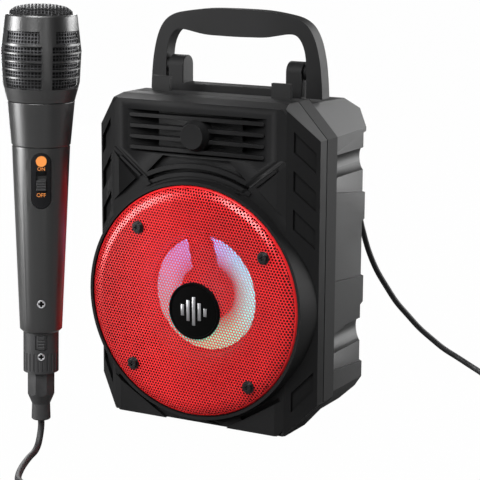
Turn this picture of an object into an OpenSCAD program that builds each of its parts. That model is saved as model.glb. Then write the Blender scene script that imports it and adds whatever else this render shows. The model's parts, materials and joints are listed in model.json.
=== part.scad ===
// Portable karaoke speaker with a folding handle and a wired microphone.
// Millimetres. X is right, -Y is the front, Z is up.
// The origin lies on the floor under the middle of the case.
// Depths named d are counted from the panel plane towards the back.

/* [Case] */
// Width of the case
case_w = 155; // [152:1:158]
// Height of the case between its bottom and top faces
case_h = 205.6; // [204:0.2:208]
// Depth from the panel plane to the rear face
case_d = 95; // [94:0.5:98]
// Height of the front feet below the case
foot_h = 1.7; // [1.2:0.1:2.4]
// Depth at which the two shells meet
joint_d = 20; // [19:0.5:21]
// Depth at which the rim of the rear shell ends
rim_d = 34.5; // [34:0.5:36]
// Step from the rim down to the sides of the rear shell
rim_step = 3.3; // [2.8:0.1:4]
// Width of the cut corners
corner_w = 19.5; // [18:0.5:21]
// Height of the cut corners
corner_h = 21.5; // [20:0.5:23]
// Width and depth of the groove between the shells
groove = 1; // [0.6:0.1:1.4]

/* [Panel] */
// Width of the flat front panel
panel_w = 121.4; // [119:0.2:124]
// Distance from the panel edge up to the rim
panel_drop = 2.3; // [1.5:0.1:3]
// Depth over which the panel edge slopes out to the rim
slope_d = 8; // [6:0.5:10]
// Depth at which the slanted wings reach the sides
wing_d = 11.8; // [11:0.2:13]
// Height of the raised pads on the panel
pad_h = 2.1; // [1.6:0.1:2.6]
// Height of the thin ribs on the panel
rib_h = 1.2; // [0.8:0.1:1.5]
// Width of the sloping edges of the pads
bevel_w = 5.2; // [4:0.2:6]
// Depth of the recesses in the wings
wing_recess_d = 2; // [1:0.2:2.4]
// Step from one wing recess to the next
wing_recess_step = 23.2; // [22.6:0.2:24]

/* [Louvre] */
// Width of the louvre opening
louvre_w = 97; // [92:1:100]
// Height of the louvre opening
louvre_h = 25.8; // [24:0.2:28]
// Distance from the top of the case down to the middle of the louvre
louvre_drop = 21.6; // [20.8:0.2:22.8]
// Thickness of one louvre slat
slat_t = 2.4; // [1.8:0.2:3]
// Step from slat to slat
slat_step = 6.7; // [6:0.1:7.2]
// Radius of the round cap on the louvre
cap_r = 9.7; // [8:0.1:11]

/* [Grille] */
// Height of the middle of the grille
grille_z = 82.6; // [81.6:0.2:83.6]
// Thickness of the grille sheet
grille_t = 0.8; // [0.6:0.1:1]
// How far the collar's foot stays inside the sides of the case
collar_in = 0.5; // [0.5:0.1:1.1]
// How much smaller the collar's radius is at its front
collar_slope = 2.2; // [1.6:0.1:2.8]
// Width of the collar's lip around the grille
collar_lip = 2.4; // [2.2:0.1:3.4]
// How far the collar stands out from the panel plane
collar_h = 6.7; // [6:0.1:7.5]
// Radius of the centre badge
badge_r = 17.8; // [16:0.2:20]
// Radius of the grille screw heads
grille_screw_r = 2.9; // [2.4:0.1:3.2]

/* [Driver] */
// Height of the driver axis
driver_z = 84.7; // [84:0.1:85.4]
// Radius of the hole in the baffle
baffle_r = 46.5; // [46.2:0.1:47]
// Outer radius of the cone
cone_r = 36.8; // [36:0.1:37]
// Radius of the voice coil
coil_former_r = 12.6; // [12.2:0.1:12.8]
// Radius of the magnet
magnet_r = 35; // [32:0.5:38]
// Radius of the round LED housing
led_r = 17.8; // [16:0.2:19]
// Width of the arm that carries the LED housing
led_arm_w = 17; // [14:0.5:20]

/* [Handle] */
// Height of the handle hinge above the case
hinge_up = 14.2; // [13.2:0.5:15.2]
// Distance of the handle hinge behind the middle of the case
hinge_y = 9; // [8:0.5:10]
// Thickness of the handle from front to back
handle_t = 10; // [8:0.5:11]
// Radius of the hinge pins
pin_r = 2.2; // [1.8:0.1:2.6]
// Width of one ear of the handle base
ear_w = 10.9; // [9:0.1:12]

/* [Rear panel] */
// Width of the rear control panel
plate_w = 92; // [90:1:96]
// Height of the rear control panel
plate_h = 64; // [63:1:68]
// Height of the middle of the rear control panel
plate_z = 140; // [139:0.5:141]
// Thickness of the rear control panel
plate_t = 2.5; // [2:0.1:2.6]
// Radius of the microphone plug shaft
plug_r = 3.15; // [3:0.05:3.2]
// Radius of the line-in socket bore
line_r = 1.75; // [1.6:0.05:2]
// Radius of the buttons
button_r = 3.2; // [2.6:0.1:4]
// Radius of the volume knob
knob_r = 8; // [6:0.5:9]

/* [Microphone] */
// Height of the microphone's tail above the floor
mic_z = 20; // [16:1:24]
// Radius of the widest part of the head
head_r = 23.2; // [22.8:0.1:24]
// Radius of the upper end of the handle tube
mic_top_r = 16.85; // [16.4:0.05:17.2]
// Radius of the lower end of the handle tube
mic_low_r = 12.5; // [12.2:0.1:13]
// Radius of the connector
connector_r = 10.45; // [10.2:0.05:10.8]
// Radius of the tail of the cord boot
boot_r = 5.7; // [5:0.1:6.5]
// Width of the switch plate
switch_w = 11; // [10:0.5:12]
// Travel of the microphone switch
switch_travel = 5; // [4:0.5:5]

/* [Cord] */
// Radius of the cord
cord_r = 2; // [1.8:0.05:2]
// Outer radius of the cord coil, at the cord's middle
coil_r = 31.3; // [31:0.1:32]
// Step between neighbouring turns and layers of the coil
coil_step = 4.5; // [4.5:0.05:4.7]

/* [Fits] */
// Gap between parts that move past each other
clearance = 0.3; // [0.25:0.05:0.4]

/* [Hidden] */

$fn = 64;
gap = clearance;
panel_y = -42;
case_z0 = foot_h;
case_z1 = foot_h + case_h;
panel_z0 = case_z0 + panel_drop;
panel_z1 = case_z1 - panel_drop;
half_w = case_w / 2;
panel_half = panel_w / 2;
louvre_z = case_z1 - louvre_drop;
hinge_z = case_z1 + hinge_up;
collar_r = half_w - collar_in;
collar_front_r = collar_r - collar_slope;
grille_r = collar_front_r - collar_lip;
grille_flat_r = grille_r - 8.4;
inner_d = 7.5;
front_wall = 16;
rear_wall = 12;
far = 300;

black = "#17171a";
shell_grey = "#202024";
metal = "#b9bcc0";
rubber = "#101010";
board_green = "#1d5a34";
red = "#c41420";

function at(d) = panel_y + d;

// Outline of the case in X and Z, drawn in by t on all eight sides.
function corner_x(t) = corner_w - (corner_w * t - t * norm([corner_w, corner_h])) / corner_h;
function corner_z(t) = (t * norm([corner_w, corner_h]) + (corner_w - t) * corner_h) / corner_w;
function outline(t) = [
  [half_w - corner_x(t), case_z1 - t],
  [half_w - t, case_z1 - corner_z(t)],
  [half_w - t, case_z0 + corner_z(t)],
  [half_w - corner_x(t), case_z0 + t],
  [corner_x(t) - half_w, case_z0 + t],
  [t - half_w, case_z0 + corner_z(t)],
  [t - half_w, case_z1 - corner_z(t)],
  [corner_x(t) - half_w, case_z1 - t]
];

// Extrusions of a drawing along one axis, from one coordinate to the other.
module along_y(y0, y1) {
  translate([0, y1, 0])
  rotate([90, 0, 0])
  linear_extrude(y1 - y0)
  children();
}

module along_x(x0, x1) {
  translate([x0, 0, 0])
  rotate([90, 0, 90])
  linear_extrude(x1 - x0)
  children();
}

module along_z(z0, z1) {
  translate([0, 0, z0])
  linear_extrude(z1 - z0)
  children();
}

module both_sides() {
  children();
  mirror([1, 0, 0])
  children();
}

// A round bar along Y at [x, z], between two depths.
module bar(x, z, r, d0, d1) {
  translate([x, at(d0), z])
  rotate([-90, 0, 0])
  cylinder(h = d1 - d0, r = r);
}

// A box at [x, z] of size w by h, between two depths.
module block(x, z, w, h, d0, d1) {
  translate([x - w / 2, at(d0), z - h / 2])
  cube([w, d1 - d0, h]);
}

// A turned body about the axis along Y at height z; points are [radius, depth].
module turned(z) {
  translate([0, panel_y, z])
  rotate([-90, 0, 0])
  rotate_extrude()
  children();
}

// Part of a flat ring, opened upwards by an angle to both sides.
module ring_part(r0, r1, angle) {
  translate([0, grille_z])
  intersection() {
    difference() {
      circle(r1);
      circle(r0);
    }
    polygon([
      [0, 0],
      [-2 * r1 * sin(angle), 2 * r1 * cos(angle)],
      [2 * r1 * sin(angle), 2 * r1 * cos(angle)]
    ]);
  }
}

/* Front shell */

slot_r0 = collar_r + 2.8;
slot_r1 = slot_r0 + 2.6;
rib_r = slot_r1 + 2.8;
pad_low = [36.5, 155.9];
pad_high = [59.8, 173.8];
pad_slope = (pad_high[1] - pad_low[1]) / (pad_high[0] - pad_low[0]);
pad_angle = atan(pad_slope);
pad_bevel = 3;
louvre_d = 5;
louvre_deep_w = 60;
slat_out = 0.5;
thin_rib_spot = [41.1, 156.7];
foot_low = [31.8, 10];
foot_high = [58.1, 25.8];
foot_slope = (foot_high[1] - foot_low[1]) / (foot_high[0] - foot_low[0]);
foot_angle = atan(foot_slope);
recess_top = case_z1 - 15.6;
screw_x = 58.5;
screw_in = 17;
grille_screw_spots = [
  for (p = [[129.8, 15.2], [33.5, 10.9], [227, 12.8], [311.3, 9.3]])
    (grille_r - p[1]) * [cos(p[0]), sin(p[0])] + [0, grille_z]
];
lip_r = grille_r + 0.5;
seat_d = 4.7;
baffle_d = 3;

function pad_line(x) = pad_low[1] + pad_slope * (x - pad_low[0]);
function foot_line(x) = foot_low[1] + foot_slope * (x - foot_low[0]);

// The louvre opening seen from above: sloping floors at both ends and a level one between them.
module louvre_plan(w, deep_w, front_d) {
  polygon([
    [-w, at(front_d)], [w, at(front_d)], [w, at(-pad_h)], [deep_w, at(louvre_d)],
    [-deep_w, at(louvre_d)], [-w, at(-pad_h)]
  ]);
}

module front_body() {
  intersection() {
    along_y(panel_y, at(joint_d))
    polygon(outline(0));
    along_z(0, far)
    polygon([
      [panel_half, panel_y], [half_w, at(wing_d)], [half_w, at(joint_d + 1)],
      [-half_w, at(joint_d + 1)], [-half_w, at(wing_d)], [-panel_half, panel_y]
    ]);
    along_x(-case_w, case_w)
    polygon([
      [panel_y, panel_z0], [at(slope_d), case_z0], [at(joint_d + 1), case_z0],
      [at(joint_d + 1), case_z1], [at(slope_d), case_z1], [panel_y, panel_z1]
    ]);
  }
}

// A strip of width w beside the line from p, at the angle given.
module strip(p, angle, length, w) {
  translate(p)
  rotate(angle)
  square([length, w]);
}

module pad_shapes() {
  difference() {
    polygon([
      [-panel_half, panel_z1], [panel_half, panel_z1],
      [panel_half, pad_line(panel_half)], [0, pad_line(0)],
      [-panel_half, pad_line(panel_half)]
    ]);
    translate([0, grille_z])
    circle(slot_r1);
  }
  for (side = [-1, 1]) {
    polygon([
      [side * panel_half, 171.7], [side * 43.2, 155.5], [side * panel_half, 139.8]
    ]);
    polygon([
      [side * (foot_low[0] - (foot_low[1] - panel_z0) / foot_slope), panel_z0],
      [side * panel_half, foot_line(panel_half)], [side * panel_half, panel_z0]
    ]);
  }
}

module pads() {
  intersection() {
    along_z(0, far)
    polygon([
      [panel_half, at(1)], [panel_half, panel_y], [panel_half - bevel_w, at(-pad_h)],
      [bevel_w - panel_half, at(-pad_h)], [-panel_half, panel_y], [-panel_half, at(1)]
    ]);
    along_y(at(-pad_h), at(1))
    intersection() {
      pad_shapes();
      polygon(outline(panel_drop));
    }
  }
}

// The sloping edge of the upper pad, cut along its lower side.
module pad_edge_cut() {
  translate([pad_low[0] - 8, 0, pad_line(pad_low[0] - 8)])
  rotate([0, -pad_angle, 0])
  along_x(0, 60)
  polygon([
    [at(-0.3), -0.2], [at(-0.3), 0], [at(-pad_h), pad_bevel],
    [at(-pad_h - 1), pad_bevel], [at(-pad_h - 1), -0.2]
  ]);
}

module thin_ribs() {
  along_y(at(-rib_h), at(1)) {
    ring_part(collar_r + 0.4, slot_r0, 28);
    strip(thin_rib_spot, pad_angle, 18, 1.6);
    mirror([1, 0])
    strip(thin_rib_spot, pad_angle, 18, 1.6);
  }
}

module collar() {
  turned(grille_z)
  polygon([[0, -collar_h], [collar_front_r, -collar_h], [collar_r, 11.5], [0, 11.5]]);
  for (p = grille_screw_spots)
    bar(p[0], p[1], 4, -10 + grille_t + gap, 0);
}

module collar_inside() {
  difference() {
    bar(0, grille_z, lip_r, -far, -seat_d);
    for (p = grille_screw_spots)
      bar(p[0], p[1], 4, -10 + grille_t + gap, 0);
  }
}

// A slanted recess in the right wing; rise is 1 for a falling and -1 for a rising one.
module wing_recess(z, rise) {
  intersection() {
    along_y(at(-4), at(wing_d + 6))
    polygon([
      [panel_half + 3.6, z], [half_w - 2.1, z - rise * 13.2],
      [half_w - 2.1, z - rise * 25], [panel_half + 3.6, z - rise * 12.4]
    ]);
    along_z(0, far)
    polygon([
      [panel_half - wing_recess_d * 0.575, at(wing_recess_d * 0.818)],
      [panel_half + 3, at(-4)], [half_w + 3, at(wing_d - 4)],
      [half_w - wing_recess_d * 0.575, at(wing_d + wing_recess_d * 0.818)]
    ]);
  }
}

module front_openings() {
  along_z(louvre_z - louvre_h / 2, louvre_z + louvre_h / 2)
  louvre_plan(louvre_w / 2, louvre_deep_w / 2, -far);
  along_y(at(-far), at(1))
  difference() {
    polygon([[-37, 158.5], [-23.5, 171.5], [23.5, 171.5], [37, 158.5]]);
    translate([0, grille_z])
    circle(rib_r);
  }
  along_y(at(-far), at(baffle_d))
  ring_part(slot_r0, slot_r1, 26);
  both_sides() {
    pad_edge_cut();
    for (i = [0 : 2])
      wing_recess(recess_top - i * wing_recess_step, 1);
    wing_recess(19.3, -1);
    along_y(at(-far), at(baffle_d))
    strip(foot_low, foot_angle, 31, 2.4);
  }
}

module front_holes() {
  bar(0, driver_z, baffle_r, -far, baffle_d + 1);
  bar(0, driver_z, 53, baffle_d, inner_d + 1);
  along_y(at(inner_d), at(joint_d + 1))
  polygon(outline(front_wall));
  for (p = grille_screw_spots)
    bar(p[0], p[1], 1.5, -12, 1.5);
  for (a = [45 : 90 : 315])
    bar(driver_screw_r * cos(a), driver_z + driver_screw_r * sin(a), 1.3, -1.5, 5);
  for (z = [case_z0 + screw_in, case_z1 - screw_in])
    both_sides()
    bar(screw_x, z, 1.5, 10, joint_d + 1);
}

module front_shell() {
  color(black)
  difference() {
    union() {
      front_body();
      pads();
      thin_ribs();
      collar();
    }
    front_openings();
    collar_inside();
    front_holes();
  }
}

// A slat between the sloping floors of the opening, with round ends.
module slat(z) {
  intersection() {
    along_z(z - slat_t, z + slat_t)
    louvre_plan(louvre_w / 2 - 2 * gap, louvre_deep_w / 2 - 2 * gap, -pad_h - slat_out);
    union() {
      block(0, z, louvre_w - slat_t - 3, slat_t, -far, far);
      both_sides()
      bar((louvre_w - slat_t - 3) / 2, z, slat_t / 2, -far, far);
    }
  }
}

module horn_louvre() {
  color(black) {
    difference() {
      block(0, louvre_z, louvre_deep_w - 4 * gap, louvre_h - 2 * gap, 3.2, louvre_d - gap);
      bar(0, louvre_z, 3, 0, 10);
    }
    for (i = [-1.5 : 1 : 1.5])
      difference() {
        slat(louvre_z - 0.4 + i * slat_step);
        bar(0, louvre_z - 0.5, cap_r - 1, -5, 5);
        block(0, louvre_z, louvre_w, louvre_h, louvre_d - gap, far);
      }
    turned(louvre_z - 0.5)
    polygon([[0, -7.3], [cap_r - 2, -7.7], [cap_r, -3], [cap_r, 3.2], [0, 3.2]]);
  }
}

/* Grille and badge */

module grille() {
  color(red)
  difference() {
    turned(grille_z)
    polygon([
      [0, -10], [grille_flat_r, -10], [grille_r - 4.9, -9.2], [grille_r - 2.1, -7.6],
      [grille_r - 0.5, -6.2], [grille_r, -5], [grille_r - grille_t, -5], [grille_r - 1.3, -6],
      [grille_r - 2.6, -7.1], [grille_r - 5.2, -8.4], [grille_flat_r, grille_t - 10],
      [0, grille_t - 10]
    ]);
    for (p = grille_screw_spots)
      bar(p[0], p[1], 1.5, -12, -8);
  }
}

module grille_screws() {
  color(metal)
  for (p = grille_screw_spots)
    difference() {
      union() {
        bar(p[0], p[1], 4, -10.8, -10);
        bar(p[0], p[1], grille_screw_r, -12.4, -10.8);
        bar(p[0], p[1], 1.4, -10.8, 1);
      }
      block(p[0], p[1], 3, 0.8, -13, -11.4);
      block(p[0], p[1], 0.8, 3, -13, -11.4);
    }
}

module centre_badge() {
  color(metal)
  translate([4.1, 0, 0])
  turned(78.3)
  polygon([
    [0, -11.2], [badge_r - 1.6, -11.2], [badge_r - 1.4, -11.8], [badge_r - 0.4, -11.8],
    [badge_r, -11.3], [badge_r, -10], [0, -10]
  ]);
}

/* Driver */

driver_screw_r = 48.8;
flange_r = 51;
flange_in_r = 43.6;
cone_d = 12;
cone_deep_d = 20;
top_plate_r = coil_former_r + 0.8;

module led_holder() {
  color(black)
  difference() {
    union() {
      bar(0, driver_z, led_r, 10, 15);
      translate([0, 0, driver_z])
      along_x(-led_arm_w / 2, led_arm_w / 2)
      polygon([
        [at(10), 12], [at(2), 36], [at(-3), 41], [at(-6.2), 43], [at(-6.2), 56],
        [at(-seat_d), 56], [at(-seat_d), 44.5], [at(-1.5), 44.5], [at(-0.6), 40.5],
        [at(1.2), 38], [at(5), 34], [at(13), 14]
      ]);
    }
    bar(0, driver_z, led_r - 1.8, 12, 16);
  }
}

module led_board() {
  color(board_green) {
    bar(0, driver_z, led_r - 1.8 - gap, 12, 13.4);
    for (a = [0 : 45 : 315])
      translate([11 * cos(a), 0, driver_z + 11 * sin(a)])
      block(0, 0, 3, 3, 13.4, 14.4);
  }
}

module driver_basket() {
  color("#2a2a2c")
  difference() {
    union() {
      turned(driver_z)
      polygon([
        [flange_in_r, 3.3], [flange_r, 3.3], [flange_r, 4.8], [45.8, 4.8], [45.8, 6],
        [32, 28], [32, 30], [top_plate_r, 30], [top_plate_r, 27], [30.5, 27], [flange_in_r, 6.4]
      ]);
      turned(driver_z)
      polygon([[30.8, 23.4], [34.5, 23.4], [34.5, 24.6], [30.8, 24.6]]);
    }
    for (a = [0 : 60 : 300])
      translate([0, 0, driver_z])
      rotate([0, a, 0])
      block(40, 0, 30, 18, 8, 22.5);
    for (a = [45 : 90 : 315])
      bar(driver_screw_r * cos(a), driver_z + driver_screw_r * sin(a), 1.5, 0, 6);
  }
}

module driver_surround() {
  color(rubber)
  turned(driver_z)
  polygon([
    [46.1, 2.7], [flange_in_r, 2.7], [42, 1.2], [40, 1.4], [38.4, 4.5], [37.6, 10.6],
    [35.9, 11], [35.9, 11.6], [38.1, 11.2], [39, 4.8], [40.4, 2.1], [41.6, 2], [43.2, 3.3],
    [46.1, 3.3]
  ]);
}

module driver_cone() {
  color("#d8d8de")
  turned(driver_z)
  polygon([
    [cone_r, cone_d - 0.1], [cone_r, cone_d + 0.9],
    [coil_former_r, cone_deep_d + 0.9], [coil_former_r, cone_deep_d - 0.1]
  ]);
}

module dust_cap() {
  color("#26262a")
  turned(driver_z)
  polygon([
    [0, 17.4], [5, 17.7], [10, 18.5], [14, 19.1], [14, 19.4], [10, 19.3], [5, 18.5], [0, 18.2]
  ]);
}

module driver_spider() {
  color("#b78c3a")
  turned(driver_z)
  polygon([
    [coil_former_r + 0.7, 22], [17, 22], [19, 21.2], [21, 22], [25, 22], [27, 21.2], [29, 22.5],
    [32.8, 22.5], [32.8, 23.1], [28.8, 23.1], [27, 21.9], [25.2, 22.7], [20.8, 22.7],
    [19, 21.9], [17.2, 22.7], [coil_former_r + 0.7, 22.7]
  ]);
}

module voice_coil() {
  color("#b06a2c")
  turned(driver_z)
  polygon([
    [coil_former_r - 0.6, 21], [coil_former_r, 21], [coil_former_r, 26],
    [coil_former_r + 0.3, 26], [coil_former_r + 0.3, 31], [coil_former_r - 0.6, 31]
  ]);
}

module driver_magnet() {
  color("#3c3c40")
  turned(driver_z)
  polygon([[17, 30], [magnet_r, 30], [magnet_r, 40], [17, 40]]);
}

module pole_piece() {
  color(metal)
  turned(driver_z)
  polygon([[0, 27], [coil_former_r - 1, 27], [coil_former_r - 1, 40], [33, 40], [33, 44], [0, 44]]);
}

module driver_screws() {
  color(metal)
  for (a = [45 : 90 : 315])
    translate([driver_screw_r * cos(a), 0, driver_z + driver_screw_r * sin(a)]) {
      bar(0, 0, 1.3, -1, 4.8);
      bar(0, 0, 2.1, 4.8, 6.4);
    }
}

/* Rear shell */

core_half = half_w - 6.1;
back_half = half_w - 13.5;
taper_d = 10;
scoops = [[165.5, 7], [54.5, 7.5]];
plate_d = case_d - plate_t;
front_foot = [50, -15];
rear_foot = [36, 30];
front_foot_r = 5.5;
rear_foot_r = 6;

// The rear body with its sides at half-width w0 behind the rim and w1 at the start of the taper.
module rear_solid(w0, w1) {
  intersection() {
    along_y(at(rim_d - 1), at(case_d))
    polygon(outline(rim_step));
    along_z(0, far)
    polygon([
      [w0, at(rim_d - 1)], [w1, at(case_d - taper_d)], [back_half, at(case_d)],
      [-back_half, at(case_d)], [-w1, at(case_d - taper_d)], [-w0, at(rim_d - 1)]
    ]);
    along_x(-case_w, case_w)
    polygon([
      [at(rim_d - 1), case_z0 + rim_step], [at(case_d - taper_d), case_z0 + rim_step + 1],
      [at(case_d), case_z0 + 11.3], [at(case_d), case_z1 - 11.3],
      [at(case_d - taper_d), case_z1 - rim_step - 1], [at(rim_d - 1), case_z1 - rim_step]
    ]);
  }
}

// Raised fields on the sides of the rear body, drawn in Y and Z.
module side_fields() {
  polygon([[at(30), 173], [at(case_d), 185], [at(case_d), far], [at(30), far]]);
  polygon([
    [at(30), 151.6], [at(85), 144.2], [at(case_d), 142.8],
    [at(case_d), 129.5], [at(85), 127], [at(30), 114.2]
  ]);
  polygon([
    [at(30), 95.3], [at(85), 90], [at(case_d), 89], [at(case_d), 76.5], [at(85), 73], [at(30), 54]
  ]);
  polygon([[at(30), 38.4], [at(85), 33.5], [at(case_d), 32.5], [at(case_d), -far], [at(30), -far]]);
}

module rear_cavity() {
  difference() {
    along_y(at(joint_d - 1), at(case_d - 5))
    polygon(outline(rear_wall));
    for (s = scoops)
      both_sides()
      bar(core_half, s[0], s[1] + 2.5, 0, case_d);
    for (z = [case_z0 + screw_in, case_z1 - screw_in])
      both_sides()
      bar(screw_x, z, 6, 0, case_d);
  }
}

module rear_shell() {
  color(shell_grey)
  difference() {
    union() {
      along_y(at(joint_d), at(rim_d))
      polygon(outline(0));
      rear_solid(core_half, core_half);
      intersection() {
        rear_solid(half_w - rim_step, half_w - rim_step - 1);
        along_x(-case_w, case_w)
        side_fields();
      }
      both_sides()
      block(42.5, case_z1 + 4, 13, 10.4, 27, 30);
    }
    difference() {
      along_y(at(joint_d - 1), at(joint_d + groove))
      square(3 * far, center = true);
      along_y(at(joint_d - 2), at(joint_d + 2))
      polygon(outline(groove));
    }
    rear_cavity();
    for (s = scoops)
      both_sides()
      bar(core_half, s[0], s[1], rim_d, far);
    for (z = [case_z0 + screw_in, case_z1 - screw_in])
      both_sides() {
        bar(screw_x, z, 1.8, 0, far);
        bar(screw_x, z, 3.4, 40, far);
      }
    block(0, plate_z, plate_w - 8, plate_h - 8, case_d - 8, case_d + 1);
    block(0, plate_z, plate_w + 2 * gap, plate_h + 2 * gap, plate_d - gap, case_d + 1);
    for (x = [-44, 44])
      for (z = [-30, 30])
        bar(x, plate_z + z, 1, plate_d - 2.4, case_d);
    translate([-48, hinge_y - 7, case_z1 - 4.1])
    cube([96, 14, 20]);
    both_sides() {
      translate([front_foot[0], front_foot[1], 0])
      cylinder(h = case_z0 + 1, r = front_foot_r + gap);
      translate([rear_foot[0], rear_foot[1], 0])
      cylinder(h = case_z0 + rim_step + 2, r = rear_foot_r + gap);
    }
  }
}

module case_screws() {
  color(metal)
  for (z = [case_z0 + screw_in, case_z1 - screw_in])
    both_sides()
    difference() {
      union() {
        bar(screw_x, z, 1.4, 11, 40);
        bar(screw_x, z, 2.9, 40, 42.6);
      }
      block(screw_x, z, 3.2, 0.8, 41.4, 44);
      block(screw_x, z, 0.8, 3.2, 41.4, 44);
    }
}

module rubber_feet() {
  color(rubber)
  both_sides() {
    translate([front_foot[0], front_foot[1], 0])
    cylinder(h = case_z0 + 1 - gap, r = front_foot_r);
    translate([rear_foot[0], rear_foot[1], 0])
    cylinder(h = case_z0 + rim_step + 2 - gap, r = rear_foot_r);
  }
}

/* Handle */

ear_x = 47.5;
ear_r = 6.5;
pin_x = ear_x + 8.5;
base_z0 = case_z1 - 4.1 + gap;
base_z1 = case_z1 + 3.4;

module round_x(x0, x1, r) {
  translate([x0, hinge_y, hinge_z])
  rotate([0, 90, 0])
  cylinder(h = x1 - x0, r = r);
}

module handle_base() {
  color(black)
  difference() {
    union() {
      translate([-ear_x, hinge_y - ear_r, base_z0])
      cube([2 * ear_x, 2 * ear_r, base_z1 - base_z0]);
      both_sides() {
        translate([ear_x - ear_w, hinge_y - ear_r, base_z0])
        cube([ear_w, 2 * ear_r, hinge_z - base_z0]);
        round_x(ear_x - ear_w, ear_x, ear_r);
      }
    }
    both_sides()
    round_x(ear_x - ear_w + 1.4, ear_x + 1, pin_r);
  }
}

// The right half of the handle, its inner and outer lines drawn up from the hinge.
module handle_half() {
  inner = [
    [0, 19.9], [8, 20], [22, 20.5], [ear_x - 11.5, 22.9], [ear_x - 5.5, 22.7],
    [ear_x - 1.9, 19.8], [ear_x + 0.7, 14.5], [ear_x + 2, 8], [ear_x + 2.5, -2],
    [ear_x + 2.5, -15.5]
  ];
  outer = [
    [ear_x + 13.7, -15.5], [ear_x + 13, -4], [ear_x + 11.5, 8], [ear_x + 8.5, 19.5],
    [ear_x + 4, 27.5], [ear_x - 2.5, 32.2], [ear_x - 11.5, 34.6], [20, 36.6], [0, 37]
  ];
  translate([0, hinge_z])
  polygon(concat(rounded(inner, 5), rounded(outer, 5)));
}

module handle() {
  color(black)
  difference() {
    union() {
      along_y(hinge_y - handle_t / 2, hinge_y + handle_t / 2) {
        handle_half();
        mirror([1, 0])
        handle_half();
      }
      both_sides()
      round_x(ear_x + gap, ear_x + 3.5, 4.6);
    }
    both_sides()
    round_x(ear_x - 1, pin_x + gap, pin_r + gap);
  }
}

module handle_pins() {
  color(metal)
  both_sides()
  round_x(ear_x - ear_w + 1.4, pin_x, pin_r);
}

/* Power and rear panel */

battery_r = 9.2;
battery_y = 24;
holder_z = case_z0 + rear_wall;
battery_z = holder_z + 3 + battery_r;
board_x0 = -44;
board_x1 = 26;
board_d = case_d - 15;
board_t = 1.6;
row_z = plate_z - 14;
button_z = plate_z + 2;
knob_z = plate_z + 19;
mic_x = 36;
line_x = 20;
usb_x = 2;
card_x = -17;
charge_x = -34;
switch_x = 25;
lamp_x = 27;
knob_x = -28;
jack_w = 11.4;
post_x = [-39, 23];
post_z = [-25, 25];
button_x = [-30, -15, 0, 15];

module battery() {
  color("#3b6fb0")
  translate([-32.5, battery_y, battery_z])
  rotate([0, 90, 0]) {
    cylinder(h = 64, r = battery_r);
    cylinder(h = 65, r = 3);
  }
}

module battery_holder() {
  color(black)
  difference() {
    translate([-38, battery_y - 12, holder_z])
    cube([76, 24, battery_z - holder_z]);
    translate([-33, battery_y, battery_z])
    rotate([0, 90, 0])
    cylinder(h = 66, r = battery_r + gap);
  }
}

module main_board() {
  color(board_green) {
    difference() {
      translate([board_x0, at(board_d), plate_z - 28])
      cube([board_x1 - board_x0, board_t, 56]);
      for (x = post_x)
        for (z = post_z)
          bar(x, plate_z + z, 1.3, board_d - 1, board_d + 3);
    }
    block(-20, plate_z + 2, 14, 14, board_d - 2, board_d);
    block(8, plate_z + 8, 9, 9, board_d - 1.6, board_d);
    for (x = [-36, 16])
      bar(x, plate_z - 8, 4, board_d - 11, board_d);
    for (x = button_x)
      block(x, button_z, 6, 6, board_d + board_t, board_d + board_t + 1.8);
    block(switch_x - 5, knob_z, 12, 7, board_d + board_t, board_d + 9.3);
    block(knob_x, knob_z, 13, 13, board_d + board_t, board_d + 10.4);
  }
}

module rear_panel() {
  color(black)
  difference() {
    union() {
      block(0, plate_z, plate_w, plate_h, plate_d, case_d);
      for (x = post_x)
        for (z = post_z) {
          bar(x, plate_z + z, 2.4, board_d + board_t, plate_d);
          bar(x, plate_z + z, 1.3, board_d, plate_d);
        }
    }
    bar(mic_x, row_z, 5.2, plate_d - 1, far);
    bar(line_x, row_z, 3.6, plate_d - 1, far);
    block(usb_x, row_z, 13.8, 6.4, plate_d - 1, far);
    block(card_x, row_z, 12.4, 2.6, plate_d - 1, far);
    block(charge_x, row_z, 9.8, 4.2, plate_d - 1, far);
    for (x = button_x)
      bar(x, button_z, button_r + gap, plate_d - 1, far);
    bar(lamp_x, button_z, 1.7, plate_d - 1, far);
    bar(knob_x, knob_z, 3.4, plate_d - 1, far);
    block(switch_x, knob_z, 7 + 2 * gap, 4 + 2 * gap, plate_d - 1, far);
    for (x = [-44, 44])
      for (z = [-30, 30])
        bar(x, plate_z + z, 1.2, plate_d - 1, far);
  }
}

module panel_screws() {
  color(metal)
  for (x = [-44, 44])
    for (z = [-30, 30])
      difference() {
        union() {
          bar(x, plate_z + z, 0.95, plate_d - 2.2, case_d);
          bar(x, plate_z + z, 1.9, case_d, case_d + 1.2);
        }
        block(x, plate_z + z, 2.2, 0.5, case_d + 0.6, case_d + 2);
        block(x, plate_z + z, 0.5, 2.2, case_d + 0.6, case_d + 2);
      }
}

// The switch rests at its left stop and slides to the right.
module power_switch() {
  color("#e8e8ea") {
    block(switch_x - 1.5, knob_z, 4, 4, plate_d - 0.8, case_d + 2);
    block(switch_x - 1.5, knob_z, 8, 7, board_d + 9.6, plate_d - gap);
  }
}

module push_button(x) {
  color(shell_grey) {
    bar(x, button_z, button_r, plate_d - 0.8, case_d + 1.4);
    bar(x, button_z, button_r + 1, plate_d - 1.4, plate_d - gap);
    bar(x, button_z, 1.2, board_d + board_t + 2.9, plate_d - 1);
  }
}

module button_mode() {
  push_button(button_x[0]);
}

module button_previous() {
  push_button(button_x[1]);
}

module button_play() {
  push_button(button_x[2]);
}

module button_next() {
  push_button(button_x[3]);
}

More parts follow.
